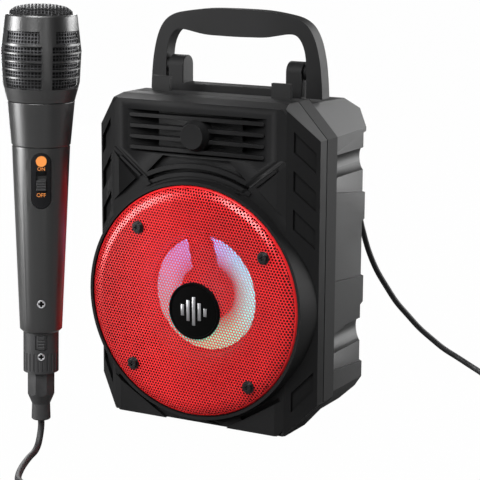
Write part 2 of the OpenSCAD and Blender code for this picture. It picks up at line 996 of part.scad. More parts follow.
module volume_knob() {
  color(shell_grey)
  difference() {
    union() {
      bar(knob_x, knob_z, knob_r, case_d + gap, case_d + 12);
      bar(knob_x, knob_z, 3.1, board_d + 10.7, case_d + 1);
    }
    for (a = [0 : 20 : 340])
      bar(knob_x + knob_r * cos(a), knob_z + knob_r * sin(a), 0.7, case_d + 1.5, far);
    block(knob_x, knob_z + knob_r - 2, 1, 5, case_d + 11.2, far);
  }
}

module mic_jack() {
  color("#2c2c30")
  difference() {
    union() {
      block(mic_x, row_z, jack_w, 14, plate_d - 26, plate_d);
      bar(mic_x, row_z, 4.9, plate_d, case_d);
      bar(mic_x, row_z, 6.6, case_d, case_d + 0.8);
    }
    bar(mic_x, row_z, plug_r + 0.1, plate_d - 24.5, far);
  }
}

module aux_jack() {
  color("#2c2c30")
  difference() {
    union() {
      block(line_x, row_z, 9, 9, board_d + board_t, plate_d);
      bar(line_x, row_z, 3.3, plate_d, case_d + 0.3);
    }
    bar(line_x, row_z, line_r, board_d + 2.3, far);
  }
}

module usb_socket() {
  color(metal)
  difference() {
    block(usb_x, row_z, 13.2, 5.8, board_d + board_t, case_d);
    difference() {
      block(usb_x, row_z, 12.5, 5.1, board_d + 3, far);
      block(usb_x, row_z + 0.9, 11, 1.8, board_d + 2, case_d - 1.5);
    }
  }
}

module card_slot() {
  color(metal)
  difference() {
    block(card_x, row_z, 14, 4, board_d + board_t, plate_d);
    block(card_x, row_z, 12, 2.2, board_d + 2.6, far);
  }
}

module charge_socket() {
  color(metal)
  difference() {
    block(charge_x, row_z, 9.2, 3.6, board_d + board_t, case_d);
    difference() {
      block(charge_x, row_z, 8.2, 2.7, board_d + 4, far);
      block(charge_x, row_z, 6.4, 0.7, board_d + 3, case_d - 1);
    }
  }
}

module charge_lamp() {
  color("#e9e4d0")
  difference() {
    bar(lamp_x, button_z, 1.5, plate_d - 1.2, case_d + 0.4);
    bar(lamp_x, button_z, 0.5, plate_d - 2, plate_d);
  }
}

/* Microphone: heights are counted from the end of its tail, along its own axis. */

mic_spot = [-59.5, -126, mic_z];
mic_turn = 35.55;
mic_lean = 0.964;
boot_h = 30.1;
ring_long = 13.2;
shell_long = 11.3;
bevel_long = 1.6;
tube_long = 108.8;
seam = 0.6;
collar_long = 25.9;
flare_up = 10.8;
wide_up = 28.9;
top_up = 21.1;
head_wall = 1.6;
latch_w = 7;
latch_button_w = 4.2;
switch_drop = 2.1;
switch_long = 32.3;
slot_up = 10.7;
slot_w = 5.4;
slider_h = 6;
boot_flat = 7.9;
ring_h = boot_h + ring_long;
handle_h0 = ring_h + shell_long;
handle_h1 = handle_h0 + bevel_long;
handle_h2 = handle_h1 + tube_long;
collar_h0 = handle_h2 + seam;
head_h = collar_h0 + collar_long;
flare_h = head_h + flare_up;
head_wide_h = head_h + wide_up;
head_top_h = head_wide_h + top_up;
switch_h1 = handle_h2 - switch_drop;
switch_h0 = switch_h1 - switch_long;
slot_h0 = switch_h0 + slot_up;
tube_screw_h = handle_h0 + 18.7;
ring_screw_h = ring_h - 2.7;

function tube_r(h) = mic_low_r + (mic_top_r - mic_low_r) * (h - handle_h1) / (handle_h2 - handle_h1);

module mic() {
  translate(mic_spot)
  rotate([0, 0, mic_turn])
  rotate([0, mic_lean, 0])
  children();
}

// A box on the front of the microphone, y counted out from its axis.
module mic_box(w, y0, y1, h0, h1) {
  translate([-w / 2, -y1, h0])
  cube([w, y1 - y0, h1 - h0]);
}

module mic_head_shell() {
  color("#333337")
  mic()
  difference() {
    rotate_extrude()
    polygon([
      [head_r - 3.7, head_h + 0.4], [head_r - 0.9, flare_h], [head_r, head_wide_h],
      [head_r - 2.4, head_top_h - 0.8], [head_r - 2.9, head_top_h], [head_r - 4, head_top_h],
      [head_r - head_wall, head_wide_h], [head_r - 2.5, flare_h], [head_r - 5.2, head_h + 0.4]
    ]);
    for (row = [[-20.7, 5.9], [-13.8, 3.8], [-9.2, 3.8], [-4.6, 3.8], [0.1, 3.8]])
      difference() {
        translate([0, 0, head_wide_h + row[0]])
        cylinder(h = row[1], r = 40);
        for (a = [8.6, 98.6])
          rotate(a)
          cube([5.8, 90, 600], center = true);
      }
    difference() {
      translate([0, 0, head_wide_h + 5])
      cylinder(h = 7.2, r = 40);
      for (a = [10, 100])
        rotate(a)
        cube([9.4, 90, 600], center = true);
    }
  }
}

module mic_mesh() {
  color("#8f9094")
  mic()
  rotate_extrude()
  polygon([
    [head_r - 5.3, head_h + 0.8], [head_r - 2.8, flare_h], [head_r - 1.9, head_wide_h],
    [head_r - 4.3, head_top_h], [head_r - 5.8, head_top_h + 2.1], [head_r - 9.2, head_top_h + 4],
    [head_r - 15.2, head_top_h + 5.2], [0, head_top_h + 5.6], [0, head_top_h + 5],
    [head_r - 15.2, head_top_h + 4.6], [head_r - 9.5, head_top_h + 3.4],
    [head_r - 6.3, head_top_h + 1.6], [head_r - 4.9, head_top_h],
    [head_r - 2.5, head_wide_h], [head_r - 3.4, flare_h], [head_r - 5.9, head_h + 0.8]
  ]);
}

module mic_foam() {
  color("#1a1a1a")
  mic()
  rotate_extrude()
  polygon([
    [head_r - 6.2, head_h + 0.8], [head_r - 3.7, flare_h], [head_r - 2.8, head_wide_h],
    [head_r - 5.2, head_top_h - 0.6], [head_r - 6.8, head_top_h + 1.1],
    [head_r - 9.8, head_top_h + 2.8], [head_r - 15.2, head_top_h + 4.1], [0, head_top_h + 4.6],
    [0, head_top_h], [head_r - 15.2, head_top_h - 0.5], [head_r - 9.2, head_top_h - 3],
    [head_r - 6.2, head_wide_h], [head_r - 7, flare_h], [head_r - 9, head_h + 0.8]
  ]);
}

module mic_capsule() {
  color(metal)
  mic() {
    translate([0, 0, head_h])
    cylinder(h = 12, r = 6);
    translate([0, 0, head_h + 12])
    cylinder(h = 24, r = 13.4);
    translate([0, 0, head_h + 36])
    cylinder(h = 2, r = 12);
  }
}

module mic_collar() {
  color("#333337")
  mic()
  rotate_extrude()
  polygon([
    [0, collar_h0], [mic_top_r - 0.3, collar_h0], [mic_top_r - 0.3, collar_h0 + seam],
    [mic_top_r + 0.3, collar_h0 + seam], [head_r - 3.7, head_h], [0, head_h]
  ]);
}

// The switch plate's outline with its round ends, grown by a clearance.
module switch_form(grow, y0, y1) {
  mic_box(switch_w + 2 * grow, y0, y1, switch_h0 + switch_w / 2, switch_h1 - switch_w / 2);
  for (h = [switch_h0 + switch_w / 2, switch_h1 - switch_w / 2])
    translate([0, -y0, h])
    rotate([90, 0, 0])
    cylinder(h = y1 - y0, r = switch_w / 2 + grow);
}

module mic_handle() {
  color("#3a3a3f")
  mic()
  difference() {
    rotate_extrude()
    polygon([
      [9, handle_h0], [10.9, handle_h0], [mic_low_r, handle_h1], [mic_top_r, handle_h2],
      [mic_top_r, collar_h0], [9, collar_h0]
    ]);
    switch_form(gap, 5, 25);
    translate([0, 0, tube_screw_h])
    rotate([90, 0, 0])
    cylinder(h = 20, r = 1.5);
    translate([0, -11.6, tube_screw_h])
    rotate([90, 0, 0])
    cylinder(h = 20, r = 2.7);
  }
}

module mic_switch_plate() {
  color("#1a1a1c")
  mic()
  difference() {
    intersection() {
      translate([0, 0, switch_h0])
      cylinder(h = switch_long, r1 = tube_r(switch_h0) + 0.3, r2 = tube_r(switch_h1) + 0.3);
      switch_form(0, 13, 25);
    }
    mic_box(slot_w + 2 * gap, 10, 25, slot_h0 - gap, slot_h0 + slider_h + switch_travel + gap);
  }
}

// The slider rests at the low end of its slot.
module mic_switch_slider() {
  color("#232326")
  mic()
  difference() {
    union() {
      mic_box(slot_w, 12, 17.6, slot_h0, slot_h0 + slider_h);
      mic_box(slot_w + 3, 11.2, 13 - gap, slot_h0 - 2, slot_h0 + slider_h + 2);
    }
    for (i = [1 : 3])
      mic_box(10, 17, 20, slot_h0 + i * 1.5 - 0.3, slot_h0 + i * 1.5 + 0.3);
  }
}

module mic_switch_body() {
  color("#2c2c30")
  mic()
  mic_box(switch_w, 6, 11.2 - gap, switch_h0 + switch_w / 2, switch_h1 - switch_w / 2);
}

module mic_screw(h, y0, y1, r) {
  translate([0, 0, h])
  rotate([90, 0, 0])
  difference() {
    union() {
      translate([0, 0, y0 - 3])
      cylinder(h = y1 - y0 + 2, r = 1.4);
      translate([0, 0, y0])
      cylinder(h = y1 - y0, r = r);
    }
    translate([0, 0, y1])
    cube([0.6 * r, 2 * r * 0.75, 1.2], center = true);
    translate([0, 0, y1])
    cube([2 * r * 0.75, 0.6 * r, 1.2], center = true);
  }
}

module mic_screws() {
  color(metal)
  mic() {
    mic_screw(tube_screw_h, 11.6, 13.2, 2.4);
    mic_screw(ring_screw_h, 8.9, 10.7, 2.1);
  }
}

module connector_shell() {
  color("#2a2a2d")
  mic()
  difference() {
    rotate_extrude()
    polygon([
      [6, ring_h], [connector_r, ring_h], [connector_r, handle_h0], [8.7, handle_h0],
      [8.7, handle_h0 + 7.4], [6, handle_h0 + 7.4]
    ]);
    mic_box(latch_w, 7.6, 14, ring_h + 1.4, handle_h0 - 1);
    for (a = [-25 : 10 : 205])
      rotate(a)
      translate([connector_r + 0.25, 0, ring_h - 1])
      cylinder(h = shell_long, r = 0.55);
  }
}

module connector_latch() {
  color("#2a2a2d")
  mic()
  difference() {
    union() {
      mic_box(latch_w - 2 * gap, 9.1, 9.7, ring_h + 1.4 + gap, handle_h0 - 1 - gap);
      mic_box(latch_button_w, 9.1, 11, ring_h + 1.4 + gap, handle_h0 - 1 - gap);
    }
    for (i = [0 : 2])
      mic_box(latch_w, 10.5, 12, ring_h + 3.4 + i * 1.8, ring_h + 4.2 + i * 1.8);
  }
}

module connector_ring() {
  color("#2a2a2d")
  mic()
  difference() {
    rotate_extrude()
    polygon([[6, boot_h], [connector_r, boot_h], [connector_r, ring_h], [6, ring_h]]);
    for (a = [0 : 15 : 345])
      rotate(a + 7.5)
      translate([connector_r + 0.2, 0, boot_h + 1.2])
      cylinder(h = ring_h - boot_h - 2.4, r = 0.7);
    translate([0, 0, ring_screw_h])
    rotate([90, 0, 0])
    cylinder(h = 20, r = 1.5);
    translate([0, -8.9, ring_screw_h])
    rotate([90, 0, 0])
    cylinder(h = 20, r = 2.4);
  }
}

module connector_boot() {
  color(rubber)
  mic()
  intersection() {
    rotate_extrude()
    polygon([
      [0, 0], [boot_r - 0.4, 0], [boot_r, 0.5], [boot_r - 0.3, 9.7], [8.4, 16.8], [8.9, boot_h],
      [0, boot_h]
    ]);
    along_z(-1, boot_h + 1)
    polygon([for (a = [22.5 : 45 : 337.5]) boot_flat / cos(22.5) * [cos(a), sin(a)]]);
  }
}

/* Plug */

plug_tail = [mic_x, at(case_d + 46), row_z];

module plug_contact() {
  color(metal)
  difference() {
    union() {
      bar(mic_x, row_z, plug_r, case_d - 24, case_d + 1.2);
      bar(mic_x, row_z, plug_r - 0.5, case_d - 26.5, case_d - 24);
    }
    difference() {
      bar(mic_x, row_z, plug_r + 1, case_d - 23, case_d - 22);
      bar(mic_x, row_z, plug_r - 0.7, case_d - 24, case_d - 21);
    }
  }
}

module plug_body() {
  color(rubber)
  translate([mic_x, 0, 0])
  turned(row_z)
  polygon([
    [0, case_d + 1.2], [5, case_d + 1.2], [5.5, case_d + 1.8], [5.5, case_d + 32], [5, case_d + 34],
    [3.6, case_d + 34], [3.4, case_d + 38], [2.8, case_d + 38.2], [2.8, case_d + 39], [3.2, case_d + 39.2],
    [3, case_d + 42], [2.6, case_d + 42.2], [2.6, case_d + 43], [2.9, case_d + 43.2],
    [2.6, case_d + 46], [0, case_d + 46]
  ]);
}

/* Cord */

floor_z = cord_r + 0.1;
coil_turns = 3.25;
coil_layers = 4;
coil_way = [-0.362, 0.932];
coil_in_r = coil_r - coil_turns * coil_step;
coil_gate = [151.2, 87.3];
coil_mid = [coil_gate[0] + coil_r * coil_way[1], coil_gate[1] - coil_r * coil_way[0]];
gate_angle = atan2(coil_gate[1] - coil_mid[1], coil_gate[0] - coil_mid[0]);
coil_top = floor_z + (coil_layers - 1) * coil_step;

function unit(v) = v / norm(v);

// The heading of the path at each of its points.
function headings(path, first, last) = [
  for (i = [0 : len(path) - 1])
    i == 0 ? first : i == len(path) - 1 ? last : unit(path[i + 1] - path[i - 1])
];

// A direction square to each heading, carried along the path without twisting.
function sides(way, start) = [
  for (i = 0, s = start; i < len(way); i = i + 1, s = i < len(way) ? unit(s - (s * way[i]) * way[i]) : s)
    unit(s - (s * way[i]) * way[i])
];

// Points of a rounded path through the given ones, with n steps between neighbours.
function rounded(p, n) = [
  for (i = [0 : len(p) - 2])
    for (k = [0 : n - 1])
      let (
        a = p[max(i - 1, 0)],
        b = p[i],
        c = p[i + 1],
        e = p[min(i + 2, len(p) - 1)],
        t = k / n
      )
      0.5 * (2 * b + (c - a) * t + (2 * a - 5 * b + 4 * c - e) * t * t
        + (3 * b - a - 3 * c + e) * t * t * t),
  p[len(p) - 1]
];

module tube(path, first, last, start, n) {
  way = headings(path, first, last);
  side = sides(way, start);
  count = len(path);
  points = [
    for (i = [0 : count - 1])
      for (k = [0 : n - 1])
        path[i] + cord_r * (cos(360 * k / n) * side[i] + sin(360 * k / n) * cross(way[i], side[i]))
  ];
  faces = concat(
    [[for (k = [0 : n - 1]) k]],
    [
      for (i = [0 : count - 2])
        for (k = [0 : n - 1])
          [i * n + (k + 1) % n, i * n + k, (i + 1) * n + k, (i + 1) * n + (k + 1) % n]
    ],
    [[for (k = [n - 1 : -1 : 0]) (count - 1) * n + k]]
  );
  polyhedron(points = points, faces = faces);
}

// From the microphone down to the floor and round to the coil.
front_points = [
  [-59.5, -126, mic_z - gap], [-59.5, -126, mic_z - 4.5], [-59.3, -127.4, 10.5], [-58.4, -131, 5.2],
  [-56.8, -137, 2.5], [-53.8, -147.1, floor_z], [-47.3, -162.8, floor_z],
  [-40, -176.6, floor_z], [-33.9, -183.7, floor_z], [-25.2, -186.9, floor_z],
  [-15.5, -185, floor_z], [10, -170.4, floor_z], [45, -150.4, floor_z],
  [80, -130.3, floor_z], [115, -110.3, floor_z], [150, -90.2, floor_z],
  [180, -73, floor_z], [193, -65, floor_z], [200.3, -58, floor_z], [203, -48.5, floor_z],
  [200.6, -40, floor_z], [190, -12.6, floor_z], [175, 26, floor_z],
  [160, 64.6, floor_z], [152.65, 83.6, floor_z], [coil_gate[0], coil_gate[1], floor_z]
];

// From the coil to the plug behind the case.
rear_points = [
  [coil_gate[0], coil_gate[1], coil_top], [149.75, 91, coil_top], [144.8, 103.8, 14.4],
  [139.5, 117.5, 10.5], [134.5, 129.5, 6], [128.5, 140, 3], [120.5, 150, floor_z],
  [109.7, 161.2, floor_z], [98.5, 171.8, floor_z + 0.2], [92, 175, 3.9], [85.9, 175, 6.8],
  [77.5, 171.8, 12.3], [69.2, 168, 19.7], [62, 163.5, 27.3], [55.3, 158, 36.9],
  [49.6, 151, 47], [45.5, 143, 58.8], [41.4, 134.2, 72.4], [38.9, 125.5, 87.5],
  [38, 117.2, 103.4], [37.4, 114.3, 111], [36.6, 111, 118.2], [36, 106.8, 123.8],
  [plug_tail[0], plug_tail[1] + 4.5, plug_tail[2]], [plug_tail[0], plug_tail[1] + gap, plug_tail[2]]
];

module mic_cord() {
  color(rubber)
  tube(
    concat([front_points[0]], rounded([for (i = [1 : len(front_points) - 1]) front_points[i]], 2)),
    [0, 0, -1], [coil_way[0], coil_way[1], 0], [1, 0, 0], 8
  );
}

module plug_cord() {
  color(rubber)
  tube(
    concat(rounded([for (i = [0 : len(rear_points) - 2]) rear_points[i]], 1), [rear_points[len(rear_points) - 1]]),
    [coil_way[0], coil_way[1], 0], [0, -1, 0], [0, 0, 1], 8
  );
}

// The coil winds in and out in flat layers and climbs where it turns back.
function zigzag(t) = abs((t / coil_turns) % 2 - (t / coil_turns >= 0 ? 1 : -1));
function coil_radius(t) = coil_in_r + (coil_r - coil_in_r) * zigzag(t);
function climb(u) = min(max(u, 0), 1);
function coil_height(t) = floor_z + coil_step * (
  climb(2 * (t - coil_turns) + 0.5) + climb(2 * (t - 2 * coil_turns) + 0.5)
  + climb(2 * (t - 3 * coil_turns) + 0.5)
);
coil_rings = 24;
coil_count = coil_rings * coil_turns * coil_layers;
coil_path = [
  for (i = [0 : coil_count])
    let (t = i / coil_rings, a = gate_angle - 360 * t)
    [
      coil_mid[0] + coil_radius(t) * cos(a),
      coil_mid[1] + coil_radius(t) * sin(a),
      coil_height(t)
    ]
];

module cord_coil() {
  color(rubber)
  tube(coil_path, [coil_way[0], coil_way[1], 0], [coil_way[0], coil_way[1], 0], [0, 0, 1], 6);
}

function path_length(p) = [for (i = [1 : len(p) - 1]) norm(p[i] - p[i - 1])] * [for (i = [1 : len(p) - 1]) 1];
coil_gap = min([
  for (i = [0 : coil_count])
    for (j = [i + 12 : coil_count])
      norm(coil_path[i] - coil_path[j])
]) - 2 * cord_r;
echo(cord_length = path_length(rounded(front_points, 4)) + path_length(coil_path)
  + path_length(rounded(rear_points, 4)), coil_length = path_length(coil_path), coil_gap = coil_gap);

front_shell();
horn_louvre();
grille();
grille_screws();
centre_badge();
led_holder();
led_board();
driver_basket();
driver_surround();
driver_cone();
dust_cap();
driver_spider();
voice_coil();
driver_magnet();
pole_piece();
driver_screws();
rear_shell();
case_screws();
handle_base();
handle();
handle_pins();
rubber_feet();
battery();
battery_holder();
main_board();
rear_panel();
panel_screws();
power_switch();
button_mode();
button_previous();
button_play();
button_next();
volume_knob();
mic_jack();
aux_jack();
usb_socket();
card_slot();
charge_socket();
charge_lamp();
mic_head_shell();
mic_mesh();
mic_foam();
mic_capsule();
mic_collar();
mic_handle();
mic_switch_plate();
mic_switch_slider();
mic_switch_body();
mic_screws();
connector_shell();
connector_latch();
connector_ring();
connector_boot();
mic_cord();
cord_coil();
plug_cord();
plug_body();
plug_contact();
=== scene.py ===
"""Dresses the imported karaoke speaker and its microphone, and lights them for a picture."""
import json
import math

import bmesh
import bpy
from bpy.props import FloatProperty, FloatVectorProperty, IntProperty, PointerProperty
from mathutils import Matrix, Vector


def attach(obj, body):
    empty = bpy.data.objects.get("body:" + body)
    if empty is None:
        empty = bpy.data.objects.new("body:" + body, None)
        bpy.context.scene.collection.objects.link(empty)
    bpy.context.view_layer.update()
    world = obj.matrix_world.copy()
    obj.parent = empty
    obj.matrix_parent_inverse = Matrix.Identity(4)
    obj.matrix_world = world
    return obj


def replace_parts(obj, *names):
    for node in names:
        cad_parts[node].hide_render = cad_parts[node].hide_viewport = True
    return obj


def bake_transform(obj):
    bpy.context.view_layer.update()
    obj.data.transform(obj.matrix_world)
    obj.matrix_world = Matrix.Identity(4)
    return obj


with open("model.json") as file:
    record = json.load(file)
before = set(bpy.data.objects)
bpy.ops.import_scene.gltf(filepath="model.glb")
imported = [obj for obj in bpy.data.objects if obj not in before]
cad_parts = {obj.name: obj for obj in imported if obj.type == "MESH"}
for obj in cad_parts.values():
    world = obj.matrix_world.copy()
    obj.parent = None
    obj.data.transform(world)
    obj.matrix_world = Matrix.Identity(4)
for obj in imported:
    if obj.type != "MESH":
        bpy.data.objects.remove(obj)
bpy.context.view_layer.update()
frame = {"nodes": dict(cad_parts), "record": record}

bl_info = {
    "name": "Karaoke Speaker",
    "version": (1, 0, 0),
    "blender": (4, 5, 0),
    "location": "View3D > Sidebar > Karaoke Speaker",
    "description": "Finishes a portable karaoke speaker with a wired microphone",
    "category": "Object",
}

MM = 0.001
# Depth of the front panel, and heights of the middle of the grille, the loudspeaker and the badge
PANEL_Y = -0.042
GRILLE_Z = 0.0826
DRIVER_Z = 0.0847
BADGE_Z = 0.0783
# Points closer than this are one point, and faces turned by less than this are one face
WELD = 0.002 * MM
LEVEL = math.radians(0.6)
NODES = frame["nodes"]
BODY_OF = {
    node: body
    for body, members in frame["record"]["behaviour"]["bodies"].items()
    for node in members
}
# The microphone is modelled upright on its own axis, in the same millimetres, and set here
MIC_PLACE = (
    Matrix.Translation((-59.5 * MM, -126 * MM, 20 * MM))
    @ Matrix.Rotation(math.radians(35.55), 4, "Z")
    @ Matrix.Rotation(math.radians(0.964), 4, "Y")
)
# Distances from the grille's middle and depths of its front against the panel's, in millimetres
GRILLE_PROFILE = [(0, -10.0), (64, -10.0), (67.5, -9.2), (70.3, -7.6), (71.9, -6.2), (72.4, -5.0)]


# ---------------------------------------------------------------- settings


class CaseLook(bpy.types.PropertyGroup):
    panel_colour: FloatVectorProperty(
        name="Front", description="Colour of the front shell", subtype="COLOR",
        size=4, min=0, max=1, default=(0.009, 0.009, 0.0093, 1),
    )
    shell_colour: FloatVectorProperty(
        name="Back", description="Colour of the rear shell", subtype="COLOR",
        size=4, min=0, max=1, default=(0.028, 0.028, 0.0285, 1),
    )
    edge: FloatProperty(
        name="Edge", description="Radius of the moulded edges", subtype="DISTANCE",
        default=0.6 * MM, min=0.1 * MM, max=2 * MM,
    )
    corner: FloatProperty(
        name="Corner", description="Width of the rounding of the outer edges", subtype="DISTANCE",
        default=2 * MM, min=0.1 * MM, max=4 * MM,
    )


class GrilleLook(bpy.types.PropertyGroup):
    colour: FloatVectorProperty(
        name="Lacquer", description="Colour of the perforated sheet", subtype="COLOR",
        size=4, min=0, max=1, default=(0.88, 0.022, 0.026, 1),
    )
    pitch: FloatProperty(
        name="Pitch", description="Distance from hole to hole", subtype="DISTANCE",
        default=1.95 * MM, min=1.6 * MM, max=4 * MM,
    )
    web: FloatProperty(
        name="Web", description="Width of the metal between two holes", subtype="DISTANCE",
        default=0.6 * MM, min=0.2 * MM, max=1 * MM,
    )


class LampLook(bpy.types.PropertyGroup):
    # Strength of the painted glow that stands for the lamps' light on the cone
    strength: FloatProperty(
        name="Strength", description="Brightness of the lit cone", default=2.1, min=0, max=20,
    )


class MicrophoneLook(bpy.types.PropertyGroup):
    colour: FloatVectorProperty(
        name="Lacquer", description="Colour of the microphone", subtype="COLOR",
        size=4, min=0, max=1, default=(0.003, 0.003, 0.0032, 1),
    )
    mark_colour: FloatVectorProperty(
        name="Marks", description="Colour of the printed switch marks", subtype="COLOR",
        size=4, min=0, max=1, default=(0.9, 0.3, 0.06, 1),
    )


class CordLook(bpy.types.PropertyGroup):
    steps: IntProperty(
        name="Steps", description="Points between two route points", default=5, min=1, max=12,
    )


class StudioLook(bpy.types.PropertyGroup):
    key: FloatProperty(
        name="Key", description="Power of the front lamp", default=21, min=0, max=200,
    )
    fill: FloatProperty(
        name="Fill", description="Power of the front lamp at the right", default=1.2, min=0, max=200,
    )
    side: FloatProperty(
        name="Side", description="Power of the lamp behind at the right", default=13.5, min=0, max=200,
    )
    strip: FloatProperty(
        name="Strip", description="Power of the upright strip lamp", default=17, min=0, max=200,
    )
    back: FloatProperty(
        name="Back", description="Power of the two lamps behind", default=11, min=0, max=200,
    )
    top: FloatProperty(
        name="Top", description="Power of the lamp overhead", default=4, min=0, max=200,
    )
    air: FloatProperty(
        name="Air", description="Strength of the light from all round", default=0.06, min=0, max=2,
    )


# ---------------------------------------------------------------- materials


class Value:
    """A node's output that can be reckoned with."""

    def __init__(self, finish, socket):
        self.finish = finish
        self.socket = socket

    def reckon(self, operation, a, b=0.0):
        return self.finish.node("ShaderNodeMath", {"operation": operation}, {0: a, 1: b})

    def __add__(self, other):
        return self.reckon("ADD", self, other)

    def __sub__(self, other):
        return self.reckon("SUBTRACT", self, other)

    def __rsub__(self, other):
        return self.reckon("SUBTRACT", other, self)

    def __mul__(self, other):
        return self.reckon("MULTIPLY", self, other)

    def __truediv__(self, other):
        return self.reckon("DIVIDE", self, other)

    def __pow__(self, other):
        return self.reckon("POWER", self, other)

    __radd__ = __add__
    __rmul__ = __mul__


class Finish:
    """A material built round one Principled shader."""

    def __init__(self, name, **constants):
        self.material = bpy.data.materials.new(name)
        self.material.use_nodes = True
        self.tree = self.material.node_tree
        self.shader = self.tree.nodes["Principled BSDF"]
        for key, value in constants.items():
            self.shader.inputs[key.replace("_", " ")].default_value = value

    def node(self, kind, settings=None, inputs=None, output=0):
        """Adds a node of a kind with its settings and its sockets' values or links."""
        made = self.tree.nodes.new(kind)
        for key, value in (settings or {}).items():
            if key == "stops":
                ramp = made.color_ramp
                while len(ramp.elements) < len(value):
                    ramp.elements.new(0.5)
                for element, (place, colour) in zip(ramp.elements, value):
                    element.position = place
                    element.color = (*colour, 1)
            else:
                setattr(made, key, value)
        for key, value in (inputs or {}).items():
            if isinstance(value, Value):
                self.tree.links.new(value.socket, made.inputs[key])
            else:
                made.inputs[key].default_value = value
        return Value(self, made.outputs[output])

    def feed(self, name, value):
        self.tree.links.new(value.socket, self.shader.inputs[name])

    def place(self):
        return self.node("ShaderNodeTexCoord", output="Object")

    def noise(self, scale, detail=2.0, rough=0.5):
        inputs = {"Vector": self.place(), "Scale": scale, "Detail": detail, "Roughness": rough}
        return self.node("ShaderNodeTexNoise", {}, inputs)

    def ramp(self, value, stops):
        return self.node("ShaderNodeValToRGB", {"stops": stops}, {"Fac": value})

    def bump(self, height, strength, distance):
        inputs = {"Strength": strength, "Distance": distance, "Height": height}
        self.feed("Normal", self.node("ShaderNodeBump", {}, inputs))

    def mottle(self, colour, amount, scale):
        """Colour that wanders a little round its own value."""
        low = [max(c * (1 - amount), 0) for c in colour[:3]]
        high = [min(c * (1 + amount), 1) for c in colour[:3]]
        self.feed("Base Color", self.ramp(self.noise(scale, 3), [(0.3, low), (0.7, high)]))


def moulded(name, colour, roughness=0.42, grain=2600, depth=0.35, shine=0.14):
    """Plastic from a spark-eroded mould: a fine even grain and a slightly uneven gloss."""
    finish = Finish(name, Roughness=roughness, Specular_IOR_Level=shine)
    finish.mottle(colour, 0.12, 35)
    grit = finish.noise(grain, 3, 0.6)
    finish.feed("Roughness", finish.noise(60, 3) * 0.12 + (roughness - 0.06) + grit * 0.06)
    finish.bump(grit, depth, 0.06 * MM)
    return finish.material


def lacquered(name, colour, roughness=0.3, coat=0.3, metallic=0.0, shine=0.5, haze=0.15):
    """Sprayed lacquer with a faint orange peel."""
    finish = Finish(
        name, Roughness=roughness, Coat_Weight=coat, Coat_Roughness=haze, Metallic=metallic,
        Specular_IOR_Level=shine,
    )
    finish.mottle(colour, 0.06, 90)
    finish.feed("Roughness", finish.noise(220, 2) * 0.1 + (roughness - 0.05))
    finish.bump(finish.noise(900, 2), 0.12, 0.05 * MM)
    return finish.material


def metal(name, colour, roughness=0.25, scratch=0.1):
    """Bare or plated metal with fine tool marks."""
    finish = Finish(name, Metallic=1.0, Roughness=roughness)
    finish.mottle(colour, 0.08, 400)
    stretched = finish.node(
        "ShaderNodeMapping", {}, {"Vector": finish.place(), "Scale": (300, 6000, 300)}
    )
    marks = finish.node("ShaderNodeTexNoise", {}, {"Vector": stretched, "Scale": 1.0, "Detail": 2.0})
    finish.feed("Roughness", marks * scratch + (roughness - scratch / 2))
    finish.bump(marks, 0.1, 0.02 * MM)
    return finish.material


def rubbery(name, colour, roughness=0.62):
    """Soft rubber with a dull, slightly dusty skin."""
    finish = Finish(name, Roughness=roughness)
    finish.mottle(colour, 0.25, 120)
    skin = finish.noise(1500, 4, 0.65)
    finish.feed("Roughness", skin * 0.15 + (roughness - 0.08))
    finish.bump(skin, 0.3, 0.05 * MM)
    return finish.material


def fibrous(name, colour, scale=1400):
    """Pressed paper, felt, cloth or foam."""
    finish = Finish(name, Roughness=0.9)
    finish.mottle(colour, 0.3, scale)
    finish.bump(finish.noise(scale, 5, 0.7), 0.8, 0.2 * MM)
    return finish.material


def polar(finish, height):
    """Angle from 0 to 1 and distance in metres from the axis along Y at that height."""
    x = finish.node("ShaderNodeSeparateXYZ", {}, {0: finish.place()})
    z = Value(finish, x.socket.node.outputs["Z"]) - height
    angle = finish.node("ShaderNodeMath", {"operation": "ARCTAN2"}, {0: z, 1: x}) / (2 * math.pi) + 0.5
    return angle, (x * x + z * z) ** 0.5


def painted_light_cone(name, strength):
    """Pale cone paper with painted light: an emission stands in for the coloured lamps round its rim that
    wash it.
    """
    lit_radius = 37 * MM
    finish = Finish(name, Roughness=0.6, Base_Color=(0.2, 0.2, 0.22, 1), Emission_Strength=strength)
    angle, distance = polar(finish, DRIVER_Z)
    # Painted light: the colour of the glow changes round the rim, as from lamps of different colours
    painted_hue = finish.ramp(
        angle,
        [
            (0.0, (0.03, 0.28, 0.4)), (0.1, (0.01, 0.3, 0.28)), (0.25, (0.1, 0.46, 0.28)),
            (0.37, (0.02, 0.55, 0.4)), (0.46, (0.01, 0.75, 0.75)), (0.53, (0.01, 0.8, 0.85)),
            (0.62, (0.01, 0.75, 1.0)), (0.75, (0.12, 0.3, 0.9)), (0.88, (0.1, 0.24, 0.56)),
            (1.0, (0.03, 0.28, 0.4)),
        ],
    )
    # Painted light and shade: the glow is brightest near the rim and fades to dark towards the middle
    level = finish.ramp(
        distance / lit_radius,
        [(0.0, (0, 0, 0)), (0.45, (0.1, 0.1, 0.1)), (0.6, (0.55, 0.55, 0.55)),
         (0.78, (1, 1, 1)), (1.0, (0.9, 0.9, 0.9))],
    )
    painted_emission = finish.node(
        "ShaderNodeMix", {"data_type": "RGBA", "blend_type": "MULTIPLY"}, {0: 1.0, 6: painted_hue, 7: level}, 2
    )
    finish.feed("Emission Color", painted_emission)
    finish.bump(finish.noise(700, 3), 0.2, 0.1 * MM)
    return finish.material


# ---------------------------------------------------------------- making pieces


